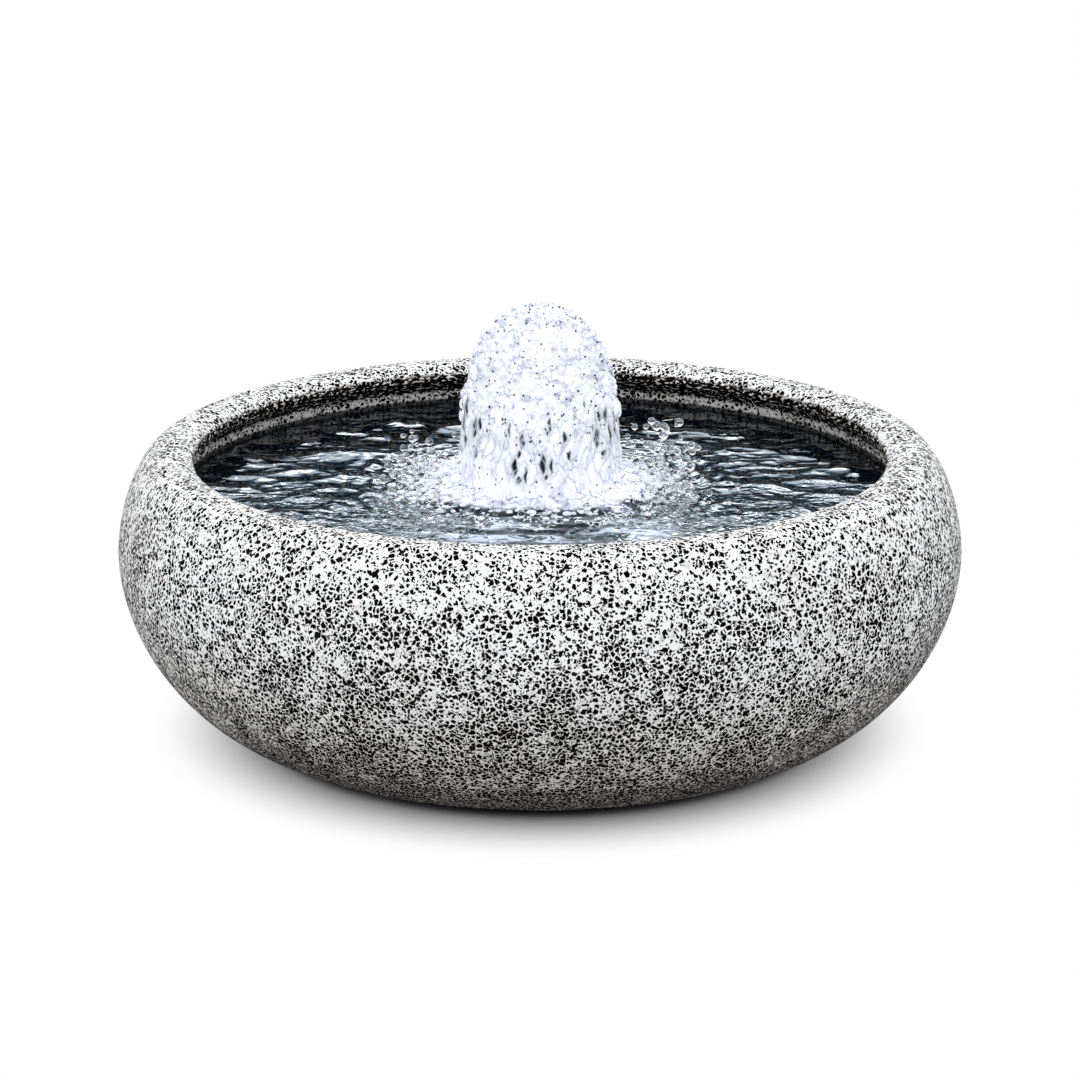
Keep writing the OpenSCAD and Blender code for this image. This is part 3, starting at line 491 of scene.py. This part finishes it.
def foam(name, painted_glow, clear, film):
    """White aerated water with a painted glow: bubbles with blue-grey rims and painted shade along
    their borders, and dark gaps where its strands part.
    """
    material, tree, place = new_material(name)
    seam, gap, shade = (add(tree, "Attribute", attribute_name=stored).outputs["Fac"]
                        for stored in ("seam", "gap", "shade"))
    warped = shifted(tree, place, place, 200, 2, 5 * MM)
    net = edge_distance(tree, stretched(tree, warped, 1, 1, 0.7), 165.0)
    line = times(tree, step(tree, net, 0.07, 0.01),
                 step(tree, noise(tree, place, 55, 1), 0.38, 0.55))
    dots = voronoi(tree, place, 170.0).outputs
    chance, _ = first_parts(tree, dots["Color"])
    dot = times(tree, step(tree, dots["Distance"], 0.21, 0.13), step(tree, chance, 0.50, 0.52))
    dark = larger(tree, gap, times(tree, dot, 0.85))
    # Painted shade: blue-grey lines along the borders of bubbles and strands, and grey shade round
    # the gaps
    colour = layered(tree, rgb(0.95, 0.96, 0.985), (seam, rgb(0.40, 0.42, 0.56)),
                     (times(tree, line, 0.75), rgb(0.38, 0.40, 0.52)),
                     (times(tree, shade, 0.55), rgb(0.42, 0.43, 0.46)),
                     (dark, rgb(0.004, 0.010, 0.016)))
    # Painted glow, stronger towards the foot than at the crown
    crown_z, foot_z = 0.335, 0.24
    painted_glow_by_height = step(tree, part_of(tree, place, 2), crown_z, foot_z, 0.75, 1.45)
    painted_glow_by_height = times(tree, painted_glow_by_height, painted_glow)
    finish_material(tree, {"Base Color": colour, "Roughness": mix_in(tree, dark, -0.18, 0.22),
                           "IOR": 1.33, "Emission Color": colour, "Emission Strength": painted_glow_by_height,
                           "Transmission Weight": clear, "Coat Weight": 1.0,
                           "Coat Tint": rgb(*film), "Coat IOR": 1.03, "Coat Roughness": 0.1},
                    net, 0.25, 0.5 * MM)
    return material


def clear_drops(name, sheen, film):
    """Clear water: with sheen it has bright rims over dark water, without it dark rims."""
    material, tree, place = new_material(name)
    colour = layered(tree, grey(1.0), (noise(tree, place, 180, 1), rgb(0.95, 0.97, 1.0)))
    finish_material(tree, {"Base Color": colour, "Roughness": 0.0, "IOR": 1.33,
                           "Transmission Weight": 1.0, "Sheen Weight": sheen,
                           "Sheen Roughness": 0.34, "Sheen Tint": grey(1),
                           "Coat Weight": 1.0 - sheen, "Coat Tint": rgb(*film),
                           "Coat IOR": 1.03, "Coat Roughness": 0.0})
    return material


def surface(name, light, dark, scale, rough, metal=0.0, relief=0.2, stretch=(1, 1, 1), coat=0.0):
    """A plain surface with grain: two tones, changing gloss and a fine relief."""
    material, tree, place = new_material(name)
    place = stretched(tree, place, *stretch)
    fine = noise(tree, place, scale * 8, 3, 0.6)
    share = mix_in(tree, fine, 0.35, times(tree, noise(tree, place, scale, 3), 0.65))
    colour = layered(tree, rgb(*light), (step(tree, share, 0.3, 0.7), rgb(*dark)))
    gloss = mix_in(tree, fine, 0.22, rough - 0.11)
    finish_material(tree, {"Base Color": colour, "Roughness": gloss, "Metallic": metal,
                           "Coat Weight": coat}, fine, relief, 0.2 * MM)
    return material


def wound(name, light, dark, pitch, axis, rough, metal):
    """Metal in fine layers or turns, one every pitch along an axis."""
    material, tree, place = new_material(name)
    layers = add(tree, "TexWave", {"Vector": place, "Scale": math.pi / (10 * pitch),
                                   "Distortion": 0.4, "Detail": 1.0}, bands_direction=axis)
    layers = layers.outputs["Fac"]
    colour = layered(tree, rgb(*dark), (step(tree, layers, 0.1, 0.6), rgb(*light)),
                     (times(tree, noise(tree, place, 120, 2), 0.4), rgb(*dark)))
    finish_material(tree, {"Base Color": colour, "Roughness": rough, "Metallic": metal},
                    layers, 0.6, 0.3 * MM)
    return material


MATERIALS = {
    "granite": granite(),
    "black_rubber": surface("black_rubber", (0.035, 0.035, 0.036), (0.012, 0.012, 0.012), 180,
                            0.62, relief=0.5),
    "brass": surface("brass", (0.78, 0.56, 0.24), (0.52, 0.34, 0.13), 90, 0.32, metal=1.0),
    "red_fibre": surface("red_fibre", (0.48, 0.11, 0.07), (0.26, 0.05, 0.03), 400, 0.8,
                         relief=0.6),
    "dark_plastic": surface("dark_plastic", (0.040, 0.043, 0.047), (0.022, 0.024, 0.027), 260,
                            0.42, relief=0.4),
    "white_plastic": surface("white_plastic", (0.80, 0.80, 0.76), (0.66, 0.66, 0.62), 200, 0.36),
    "red_plastic": surface("red_plastic", (0.56, 0.03, 0.02), (0.38, 0.015, 0.012), 160, 0.3,
                           coat=0.4),
    "plate_steel": wound("plate_steel", (0.50, 0.51, 0.53), (0.14, 0.14, 0.15), 1.0 * MM, "Y",
                         0.4, 0.9),
    "copper_winding": wound("copper_winding", (0.72, 0.32, 0.14), (0.24, 0.08, 0.03), 0.8 * MM,
                            "X", 0.25, 0.8),
    "stainless_steel": surface("stainless_steel", (0.66, 0.66, 0.67), (0.46, 0.46, 0.48), 140,
                               0.28, metal=1.0, stretch=(1, 1, 6)),
    "shaft_ceramic": surface("shaft_ceramic", (0.88, 0.87, 0.83), (0.78, 0.76, 0.71), 150, 0.16,
                             relief=0.05),
    "ferrite": surface("ferrite", (0.10, 0.10, 0.105), (0.045, 0.045, 0.05), 500, 0.55,
                       relief=0.5),
    "still_water": dark_water(),
    "foam_water": foam("foam", 0.32, 0.0, (0.92, 0.928, 0.95)),
}
SPLASH_FOAM = foam("splash_foam", 0.17, 0.0, (0.90, 0.91, 0.94))
WET_BEADS = foam("wet_beads", 0.32, 0.20, (0.905, 0.915, 0.94))
DROPS = clear_drops("clear_drops", 1.0, (1, 1, 1))
DARK_RIMMED = clear_drops("dark_rimmed_drops", 0.0, (0.88, 0.90, 0.93))
DARK_DOTS = surface("dark_dots", (0.06, 0.065, 0.10), (0.010, 0.012, 0.018), 200, 0.15)


def dress_nodes():
    """Gives each CAD node the material of its slot."""
    for part in frame["record"]["subparts"]:
        node = frame["nodes"][part["node"]]
        node.data.materials.clear()
        node.data.materials.append(MATERIALS[part["material_slot"]])


# Bowl

def bulge(t, power):
    """Point on a quarter of a superellipse of size 1."""
    return max(math.cos(t), 0) ** (2 / power), max(math.sin(t), 0) ** (2 / power)


def bowl_profile():
    """Half section from the middle of the underside round to the middle of the floor."""
    steps, lip_steps = 56, 20
    quarter = math.pi / 2
    line = [(0, BASE_Z)]
    for i in range(steps + 1):
        x, y = bulge(quarter * (1 - i / steps), LOW_CURVE)
        line.append((BASE_R + (BOWL_R - BASE_R) * x, BELLY_Z - (BELLY_Z - BASE_Z) * y))
    for i in range(1, steps + 1):
        x, y = bulge(quarter * i / steps, UP_CURVE)
        line.append((CREST_OUT_R + (BOWL_R - CREST_OUT_R) * x, BELLY_Z + (BOWL_H - BELLY_Z) * y))
    lip_w = CREST_IN_R - MOUTH_R
    for i in range(lip_steps + 1):
        t = quarter * i / lip_steps
        line.append((CREST_IN_R - lip_w * math.sin(t), BOWL_H - LIP_DROP + LIP_DROP * math.cos(t)))
    for i in range(1, lip_steps + 1):
        t = math.pi * i / lip_steps
        line.append((MOUTH_R + UNDERCUT * (1 - math.cos(t)) / 2,
                     BOWL_H - LIP_DROP - UNDERCUT_H * i / lip_steps))
    for i in range(steps + 1):
        x, y = bulge(quarter * i / steps, IN_CURVE)
        line.append((FLOOR_R + (BELLY_IN_R - FLOOR_R) * x, BELLY_Z - (BELLY_Z - FLOOR_Z) * y))
    line.append((0, FLOOR_Z))
    return line


def rod(name, x, y, radius, low, high):
    """Upright round cutter."""
    turns = 48
    points, faces = revolve([(0, low), (radius, low), (radius, high), (0, high)], turns)
    return plain_object(name, [(px + x, py + y, pz) for px, py, pz in points], faces)


def block(name, low, high):
    """Square cutter from one corner to the other."""
    corners = [(x, y, z) for z in (low[2], high[2]) for y in (low[1], high[1])
               for x in (low[0], high[0])]
    faces = [(0, 2, 3, 1), (4, 5, 7, 6), (0, 1, 5, 4), (2, 6, 7, 3), (0, 4, 6, 2), (1, 3, 7, 5)]
    return plain_object(name, corners, faces)


def stone_bowl():
    """The bowl, finely turned, with its CAD node's pad pockets, channels and holes."""
    turns, sharp_from = 288, math.radians(35)
    points, faces = revolve(bowl_profile(), turns)
    bowl = mesh_piece("stone_bowl", points, faces, MATERIALS["granite"], "basin",
                      ["bowl"])
    under, over = -5 * MM, FLOOR_Z + 5 * MM
    in_stone = 1 * MM
    pad_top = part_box("rubber_pads")[1]
    pad_r, pad_gap = 12 * MM, 0.1 * MM
    for sx, sy in product((-1, 1), repeat=2):
        cut_with(bowl, rod("pad_pocket", sx * (pad_top.x - pad_r), sy * (pad_top.y - pad_r),
                           pad_r + pad_gap, under, pad_top.z))

    channel_w, channel_z, channel_end = 22 * MM, 18 * MM, 0.4
    bung_r, drain_r, seat_r, seat_deep = 11 * MM, 10.68 * MM, 17.4 * MM, 4.5 * MM
    spanner_r, spanner_z = 24.3 * MM, 24 * MM
    drain_low, drain_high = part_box("drain_body")
    drain_x, drain_y = (drain_low.x + drain_high.x) / 2, (drain_low.y + drain_high.y) / 2
    cut_with(bowl, rod("bung_hole", 0, drain_y, bung_r, in_stone, over))
    cut_with(bowl, rod("channel_end", 0, drain_y, channel_w / 2, under, channel_z))
    cut_with(bowl, block("channel", (-channel_w / 2, drain_y, under),
                         (channel_w / 2, channel_end, channel_z)))
    # Its faces lie a little apart from the channel's, so that the cut is clean
    cut_with(bowl, block("side_channel", (drain_x, drain_y - channel_w / 3, -6 * MM),
                         (0.1 * MM, drain_y + channel_w / 3, channel_z - 0.05 * MM)))
    cut_with(bowl, rod("drain_hole", drain_x, drain_y, drain_r, in_stone, over))
    cut_with(bowl, rod("drain_seat", drain_x, drain_y, seat_r, FLOOR_Z - seat_deep, over))
    cut_with(bowl, rod("spanner_room", drain_x, drain_y, spanner_r, -5.5 * MM, spanner_z))
    bpy.context.view_layer.objects.active = bowl
    shade_smooth(bowl)
    bowl.data.set_sharp_from_angle(angle=sharp_from)


# Water

def ripple_height(x, y):
    """Cellular ripples on the pool, growing out of the rings that leave the splash."""
    big_cell, mid_cell, chop_cell = 34 * MM, 17 * MM, 9.5 * MM
    ring_gap, ring_reach, chop_reach = 17 * MM, 45 * MM, 48 * MM
    lowest, highest = -2.2, 2.4
    none = np.zeros_like(x)
    flat = np.stack([x, y, none], 1)
    bend = np.stack([np.sin(31 * y + 2.0) + np.sin(17 * x), np.sin(27 * x + 1.0) + np.sin(21 * y),
                     none], 1) * 6 * MM
    big, _, tag = cells((flat + bend) * (0.85, 1.0, 1.0) + (0, 0, 5 * MM), big_cell, 3)
    mid, _, _ = cells(flat + bend * 0.6 + (0, 0, 7 * MM), mid_cell, 5)
    chop, _, _ = cells(flat + bend * 0.4 + (0, 0, 3 * MM), chop_cell, 8)
    r = np.hypot(x, y)
    rings = np.sin((r - SPLASH_R) * TURN / ring_gap + 1.4 * np.sin(7 * np.arctan2(y, x)))
    near = np.exp(-((r - SPLASH_R) / ring_reach) ** 2)
    close = np.exp(-(np.clip(r - SPLASH_R, 0, 1) / chop_reach) ** 2)
    swell = np.sin(52 * x + 13 * y) * 0.25 + np.sin(41 * y - 23 * x + 1.0) * 0.25
    h = (2.7 + 1.8 * tag) * (big ** 2 - 0.34) + 0.7 * (mid ** 2 - 0.3) + 0.9 * near * rings + swell
    h += 0.9 * close * (chop ** 2 - 0.3)
    edge = smooth((POOL_R - r) / (10 * MM)) * 0.7 + 0.3
    return np.clip(h * edge, lowest, highest) * MM


def pool():
    """The water's surface layer, open in the middle, where the jet stands."""
    hole, turns, rows_in, rows_out = 0.5 * JET_R, 720, 20, 120
    radii = np.concatenate([np.linspace(hole, SPLASH_R, rows_in, endpoint=False),
                            np.linspace(SPLASH_R, POOL_R, rows_out)])
    r, a = grid(radii, turns)
    top = polar(r, a, WATER_Z + ripple_height(r * np.cos(a), r * np.sin(a)))
    low_out, low_in = (polar(end, turns_round(turns), POOL_LOW.z) for end in (POOL_R, hole))
    points = np.concatenate([top, low_out, low_in, top[:turns]])
    piece = mesh_piece("rippled_pool", points, band(len(radii) + 3, turns),
                       MATERIALS["still_water"], "basin", ["water_pool"])
    join_close(piece)
    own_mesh(piece)


def jet_width(t):
    """Radius of the jet, t from 0 at its foot to 1 at its top."""
    foot, taper = 0.995 * JET_R, 0.26
    return foot * (1 - taper * t ** 1.6) * np.sqrt(np.clip(1 - t ** 6, 0, 1))


def jet_point(t, a, out=0.0):
    """Place on the jet's skin, pushed out along the skin's normal."""
    step_t = 1e-4
    low, high = np.clip(t - step_t, 0, 1), np.clip(t + step_t, 0, 1)
    slope_r = jet_width(high) - jet_width(low)
    slope_z = (high - low) * JET_RISE
    length = np.hypot(slope_r, slope_z)
    r = jet_width(t) + out * slope_z / length
    return polar(r, a, JET_FOOT + JET_RISE * t - out * slope_r / length)


# Gaps between the jet's strands: degrees round from the front, height as a share, half width and
# half height in mm
GAPS = [(-56, 0.38, 5.6, 10), (-50, 0.41, 2.8, 6), (-74, 0.47, 5.0, 9), (-78, 0.40, 3.7, 12),
        (-69, 0.28, 4.3, 8), (-86, 0.27, 3.4, 13), (-52, 0.25, 2.5, 6), (-13, 0.35, 2.8, 8),
        (-23, 0.41, 1.2, 8), (-18, 0.21, 3.4, 9), (-15, 0.14, 3.0, 4), (-10, 0.17, 1.8, 8),
        (-15, 0.28, 2.0, 4), (2, 0.23, 3.4, 10), (8, 0.22, 1.8, 7), (4, 0.16, 1.8, 3),
        (7, 0.44, 2.0, 7), (5, 0.40, 1.2, 3), (18, 0.37, 2.2, 6), (21, 0.27, 1.8, 5),
        (46, 0.34, 4.3, 10), (52, 0.25, 5.0, 3), (62, 0.34, 3.4, 10), (58, 0.45, 4.0, 7),
        (72, 0.38, 4.0, 13), (84, 0.42, 3.4, 12), (50, 0.45, 2.5, 5), (36, 0.53, 1.2, 4),
        (42, 0.40, 1.0, 4), (104, 0.36, 3.0, 10), (121, 0.22, 2.8, 8), (129, 0.42, 1.8, 6),
        (140, 0.34, 3.2, 9), (158, 0.27, 2.6, 8), (169, 0.40, 1.6, 6), (178, 0.37, 3.4, 9),
        (-162, 0.20, 3.0, 8), (-153, 0.40, 1.6, 6), (-144, 0.35, 2.8, 9), (-127, 0.25, 3.2, 8),
        (-116, 0.44, 1.8, 7), (-108, 0.38, 2.8, 10)]


def jet_gaps(t, a):
    """Share of each point that lies in a gap, and in the shade round one."""
    halo_w, halo_h = 2.4, 1.7
    deep, soft = np.zeros_like(t), np.zeros_like(t)
    for degrees, middle, half_w, half_h in GAPS:
        turn = (a + math.pi / 2 - math.radians(degrees) + math.pi) % TURN - math.pi
        y = (t - middle) * JET_RISE
        x = turn * JET_R + 0.5 * MM * np.sin(y * 600 + degrees)
        lens = np.abs(x) / (half_w * MM) + (y / (half_h * MM)) ** 2
        deep = np.maximum(deep, smooth((1.0 - lens) / 0.55))
        halo = np.abs(x) / (half_w * halo_w * MM) + (y / (half_h * halo_h * MM)) ** 2
        soft = np.maximum(soft, smooth((1.0 - halo) / 0.9))
    return deep, soft


def mark(piece, seam, gap, shade):
    """Stores what the foam's material reads at each point; points past the last value have 0."""
    for name, values in (("seam", seam), ("gap", gap), ("shade", shade)):
        every = np.zeros(len(piece.data.vertices), np.float32)
        every[:len(values)] = values
        piece.data.attributes.new(name, "FLOAT", "POINT").data.foreach_set("value", every)


def jet_core():
    """The column: bubbles on its dome, and strands with gaps between them low down."""
    turns, rows = 560, 300
    bubble, strand = 7.5 * MM, 8.0 * MM
    squeeze = (1, 1, 0.30)      # what draws the strands' cells out in height
    strands_end, fade = 0.28, 0.30      # shares of the height
    relief, inset, gap_deep = 3.4, 3.6, 1.2     # mm
    t, a = grid(np.sin(np.linspace(0, math.pi / 2, rows, endpoint=False)), turns)
    skin = jet_point(t, a)
    sway = np.stack([np.sin(skin[:, 2] * 160 + 5 * a), np.sin(skin[:, 2] * 130 + 3 * a),
                     np.zeros_like(a)], 1)
    near, far, _ = cells(skin, bubble, 11)
    swayed = (skin + 2.5 * MM * sway) * squeeze
    long_near, long_far, long_tag = cells(swayed, strand, 17)
    low = 1 - smooth((t - strands_end) / fade)
    bumps = dome(near) * (1 - low) + (1 - long_near ** 2) * low
    # Painted shade along the borders of the bubbles on the dome and of the strands low down
    seam = border(near, far, 0.09) * (1 - low) * 0.5
    seam += border(long_near, long_far, 0.12) * low * 0.7
    deep, soft = jet_gaps(t, a)
    strands = smooth(1 - (long_far - long_near) / 0.10)
    deep = deep * (1 - 0.85 * strands)
    shade = soft * (1 - 0.6 * strands)
    shade += 0.45 * (long_tag > 0.7) * smooth((0.6 - long_near) / 0.4) * low
    out = (bumps * relief - inset) * MM - deep * gap_deep * MM
    out *= smooth((1 - t) / 0.02) * 0.7 + 0.3
    ends = [[0, 0, JET_FOOT], [0, 0, JET_TOP - 2.5 * MM]]
    piece = mesh_piece("jet_core", np.concatenate([jet_point(t, a, out), ends]),
                       capped_band(rows, turns), MATERIALS["foam_water"], "nozzle",
                       ["water_jet"])
    mark(piece, seam, deep, np.clip(shade, 0, 1))
    return piece


def balls(name, centres, sizes, detail, material, body):
    """A piece of one ball at each centre, each with its own size along X, Y and Z."""
    work = bmesh.new()
    bmesh.ops.create_icosphere(work, subdivisions=detail, radius=1.0)
    ball = np.array([v.co for v in work.verts])
    faces = np.array([[v.index for v in f.verts] for f in work.faces])
    work.free()
    points = (ball[None] * sizes[:, None, :] + centres[:, None, :]).reshape(-1, 3)
    starts = (np.arange(len(centres)) * len(ball))[:, None, None]
    faces = [tuple(f) for f in (faces[None] + starts).reshape(-1, 3).tolist()]
    return mesh_piece(name, points, faces, material, body)


def jet_beads(rng, name, count, smallest, largest, material, sunk, lowest):
    """Beads on the jet's skin, round on the dome and drawn out low down, clear of the gaps."""
    skin_deep = 2.0 * MM
    t = np.clip(1 - lowest * rng.random(count) ** 1.2, 0.03, 0.999)
    a = rng.random(count) * TURN
    clear = jet_gaps(t, a)[1] < 0.3
    t, a = t[clear], a[clear]
    radius = smallest + (largest - smallest) * rng.random(len(t)) ** 1.5
    centres = jet_point(t, a, radius * (1 - sunk) - skin_deep)
    tall = 1 + 1.6 * (1 - smooth((t - 0.15) / 0.5))
    sizes = np.stack([radius, radius, radius * tall], 1)
    centres[:, 2] = np.minimum(centres[:, 2], JET_TOP - sizes[:, 2])
    return balls(name, centres, sizes, 2, material, "nozzle")


def splash():
    """Ring of foam where the jet lands: large bubbles at the jet, smaller ones with dark water
    between them further out, and an apron that goes on under the jet."""
    turns, rows = 900, 60
    inner, bubble, small_bubble = JET_R - 3 * MM, 14 * MM, 6 * MM
    ridge_h, bubble_h, small_h, fall = 7.0 * MM, 4.0 * MM, 2.4 * MM, 2.2 * MM
    u, a = grid(np.linspace(0, 1, rows), turns)
    edge = SPLASH_R * (0.90 + 0.05 * np.sin(5 * a) + 0.03 * np.sin(13 * a + 0.7)
                       + 0.02 * np.sin(29 * a))
    r = inner + (edge - inner) * u
    flat = polar(r, a, 0.0)
    near, far, tag = cells(flat + (0, 0, 3 * MM), bubble, 23)
    fine, _, fine_tag = cells(flat + (0, 0, 2 * MM), small_bubble, 27)
    outer = smooth((u - 0.44) / 0.22)
    height = ridge_h * (1 - u) ** 1.2 * (0.75 + 0.25 * np.sin(11 * a + 3.5 * u))
    height += bubble_h * dome(near) * np.sqrt(np.clip(1 - u, 0, 1)) * (1 - 0.6 * outer)
    height += small_h * dome(fine) * outer * np.clip(1.15 - u, 0, 1)
    top = polar(r, a, WATER_Z + 0.2 * MM + height - u * fall)
    foot_out = top[-turns:] - (0, 0, 1.5 * MM)
    under_jet = top[:turns] * (0.78, 0.78, 0) + (0, 0, WATER_Z + 2.0 * MM)
    foot_in = under_jet - (0, 0, 3.5 * MM)
    points = np.concatenate([top, foot_out, foot_in, under_jet, top[:turns]])
    piece = mesh_piece("splash_foam", points, band(rows + 4, turns), SPLASH_FOAM, "basin",
                       ["splash_ring"])
    gap = outer * np.maximum(smooth((fine - 0.40) / 0.12), (fine_tag < 0.42 + 0.45 * u))
    gap = np.maximum(gap, border(near, far, 0.06) * (tag < 0.35) * (1 - outer))
    # Painted shade along the borders of the large bubbles, and a light painted shade further out
    mark(piece, border(near, far, 0.09) * (1 - outer), gap, 0.25 * outer)
    join_close(piece)
    return piece


def turns_to_the_sides(rng, count, left, sides, spread):
    """Turns round the jet: a share near its left, up to another share near its right, and the
    rest anywhere."""
    side = rng.random(count)
    a = np.where(side < left, math.pi, 0.0) + rng.normal(0, spread, count)
    return np.where(side > sides, rng.random(count) * TURN, a)


def splash_balls(rng, name, count, smallest, largest, material, spread, flat):
    """Blobs or bubbles on the splash and on the water round it."""
    nearest, foam_h, foam_w = 8 * MM, 6.0 * MM, 46 * MM
    a = turns_to_the_sides(rng, count, 0.26, 0.5, 0.5)
    past_jet = nearest + np.abs(rng.normal(0, 1, count)) * spread
    radius = smallest + (largest - smallest) * rng.random(count) ** 1.8
    radius *= np.clip(1.15 - past_jet / (120 * MM), 0.5, 1)
    z = WATER_Z + foam_h * np.clip(1 - past_jet / foam_w, 0, 1)
    z += rng.uniform(-0.2, 0.8, count) * radius * flat
    sizes = np.stack([radius * rng.uniform(0.9, 1.5, count), radius, radius * flat], 1)
    return balls(name, polar(JET_R + past_jet, a, z), sizes, 2, material, "basin")


def flying_drops(rng):
    """Drops in flight, most of them to the left and right of the jet."""
    count, nearest, spread, highest = 190, 92 * MM, 26 * MM, 40 * MM
    a = turns_to_the_sides(rng, count, 0.46, 0.88, 0.40)
    past = np.abs(rng.normal(0, spread, count))
    radius = (1.3 + 2.9 * rng.random(count) ** 1.6) * MM
    lift = rng.random(count) ** 1.5 * highest * np.clip(1.4 - past / (80 * MM), 0.25, 1)
    sizes = radius[:, None] * rng.uniform(0.9, 1.1, (count, 3))
    centres = polar(nearest + past, a, WATER_Z + radius + 2 * MM + lift)
    return balls("flying_drops", centres, sizes, 3, DROPS, "basin")


def water():
    """All the water: the pool, then the jet, splash, beads and drops, each given its own mesh."""
    rng = np.random.default_rng(SEED)
    pool()
    sinking = [
        jet_core(),
        jet_beads(rng, "jet_wet_beads", 900, 1.4 * MM, 3.8 * MM, WET_BEADS, sunk=0.6, lowest=0.62),
        jet_beads(rng, "jet_clear_beads", 160, 1.2 * MM, 2.6 * MM, DARK_RIMMED, sunk=0.3,
                  lowest=0.7),
        jet_beads(rng, "jet_dark_dots", 560, 0.35 * MM, 1.0 * MM, DARK_DOTS, sunk=-2.0,
                  lowest=0.66),
        splash(),
        splash_balls(rng, "splash_blobs", 900, 1.0 * MM, 4.2 * MM, SPLASH_FOAM, spread=20 * MM,
                     flat=0.6),
        splash_balls(rng, "splash_bubbles", 170, 1.8 * MM, 5.2 * MM, DROPS, spread=30 * MM,
                     flat=0.75),
        flying_drops(rng),
    ]
    for piece in sinking:
        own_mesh(piece)


# Stage

def floor():
    """Pale floor that keeps the soft shadow near the foot, with a painted dark shadow right at it,
    turns to plain white further out and can be seen through from below."""
    side = 9.0
    shadow_start, shadow_end = 0.222, 0.335
    painted_shadow_out, painted_shadow_in = 0.248, 0.232
    corners = [(-side, -side, 0), (side, -side, 0), (side, side, 0), (-side, side, 0)]
    piece = plain_object("floor", corners, [(0, 1, 2, 3)])
    material, tree, place = new_material("pale_floor")
    radius = from_axis(tree, place)
    rays = add(tree, "LightPath").outputs
    seen = larger(tree, rays["Is Camera Ray"],
                  larger(tree, rays["Is Glossy Ray"], rays["Is Transmission Ray"]))
    away = times(tree, seen, step(tree, radius, shadow_start, shadow_end))
    # Painted shadow: nearly black under the foot and in a thin ring round it
    pale = layered(tree, grey(0.92), (step(tree, radius, painted_shadow_out, painted_shadow_in), grey(0.01)))
    tone = layered(tree, grey(0.59), (seen, pale))
    matt = add(tree, "BsdfDiffuse", {"Color": tone}).outputs[0]
    white = add(tree, "Emission", {"Color": grey(1), "Strength": 1.0}).outputs[0]
    above = add(tree, "MixShader", {0: away, 1: matt, 2: white}).outputs[0]
    from_below = add(tree, "NewGeometry").outputs["Backfacing"]
    clear = add(tree, "BsdfTransparent").outputs[0]
    both = add(tree, "MixShader", {0: from_below, 1: above, 2: clear}).outputs[0]
    add(tree, "OutputMaterial", {"Surface": both})
    piece.data.materials.append(material)


def world():
    """White to the camera and soft to matt surfaces. In gloss it is dark at the horizon, has a
    bright band above it, which gives the ripples their highlights, and is dim overhead."""
    scene = bpy.context.scene
    scene.world = bpy.data.worlds.new("studio")
    scene.world.use_nodes = True
    tree = scene.world.node_tree
    tree.nodes.clear()
    up = part_of(tree, add(tree, "TexCoord").outputs["Generated"], 2)
    # By height, from 0 at the horizon to 1 overhead: dark, blue, the bright band, dim
    gloss = layered(tree, rgb(0.002, 0.006, 0.013),
                    (step(tree, up, 0.252, 0.340), rgb(0.20, 0.39, 0.59)),
                    (step(tree, up, 0.325, 0.43), rgb(3.4, 4.0, 4.6)),
                    (step(tree, up, 0.62, 0.80), rgb(0.10, 0.14, 0.19)))
    through = layered(tree, grey(1), (step(tree, up, 0.40, 0.62), rgb(0.16, 0.18, 0.22)))
    rays = add(tree, "LightPath").outputs
    colour = layered(tree, rgb(0.62, 0.63, 0.64), (rays["Is Glossy Ray"], gloss),
                     (rays["Is Transmission Ray"], through), (rays["Is Camera Ray"], grey(1)))
    background = add(tree, "Background", {"Color": colour, "Strength": 1.0})
    add(tree, "OutputWorld", {"Surface": background.outputs[0]})


def lamp(name, place, aim, size, power):
    """A soft box of a size in metres, turned to what it lights."""
    data = bpy.data.lights.new(name, "AREA")
    data.shape = "RECTANGLE"
    data.size, data.size_y = size
    data.energy = power
    o = bpy.data.objects.new(name, data)
    bpy.context.scene.collection.objects.link(o)
    o.location = place
    o.rotation_mode = "QUATERNION"
    o.rotation_quaternion = (Vector(aim) - Vector(place)).to_track_quat("-Z", "Y")


def lights():
    """Soft boxes above, in front, behind and at both sides, the left one the stronger."""
    lamp("top_box", (0.0, -0.2, 2.4), (0, 0, 0.2), (2.2, 2.2), 30)
    lamp("front_box", (0.0, -2.6, 0.35), (0, 0, 0.1), (2.4, 0.6), 8.5)
    lamp("back_box", (0.1, 2.0, 1.42), (0, 0, 0.2), (1.2, 0.18), 8)
    for side in (-1, 1):
        lamp("side_box", (side * 2.0, -1.0, 1.2), (0, 0, 0.2), (0.6, 1.4), 5 - side)


def camera():
    """The photograph's view: from the front, a little above, with a long lens."""
    lens, away, up = 111.6, 2.8, math.radians(16.3)
    middle = Vector((0, 0, BELLY_Z))
    data = bpy.data.cameras.new("view")
    data.lens, data.sensor_width = lens, 36
    o = bpy.data.objects.new("view", data)
    bpy.context.scene.collection.objects.link(o)
    o.location = middle + away * Vector((0, -math.cos(up), math.sin(up)))
    o.rotation_euler = (math.pi / 2 - up, 0, 0)
    bpy.context.scene.camera = o


bpy.context.scene.view_settings.view_transform = "Standard"
camera()
world()
lights()
floor()
dress_nodes()
stone_bowl()
water()
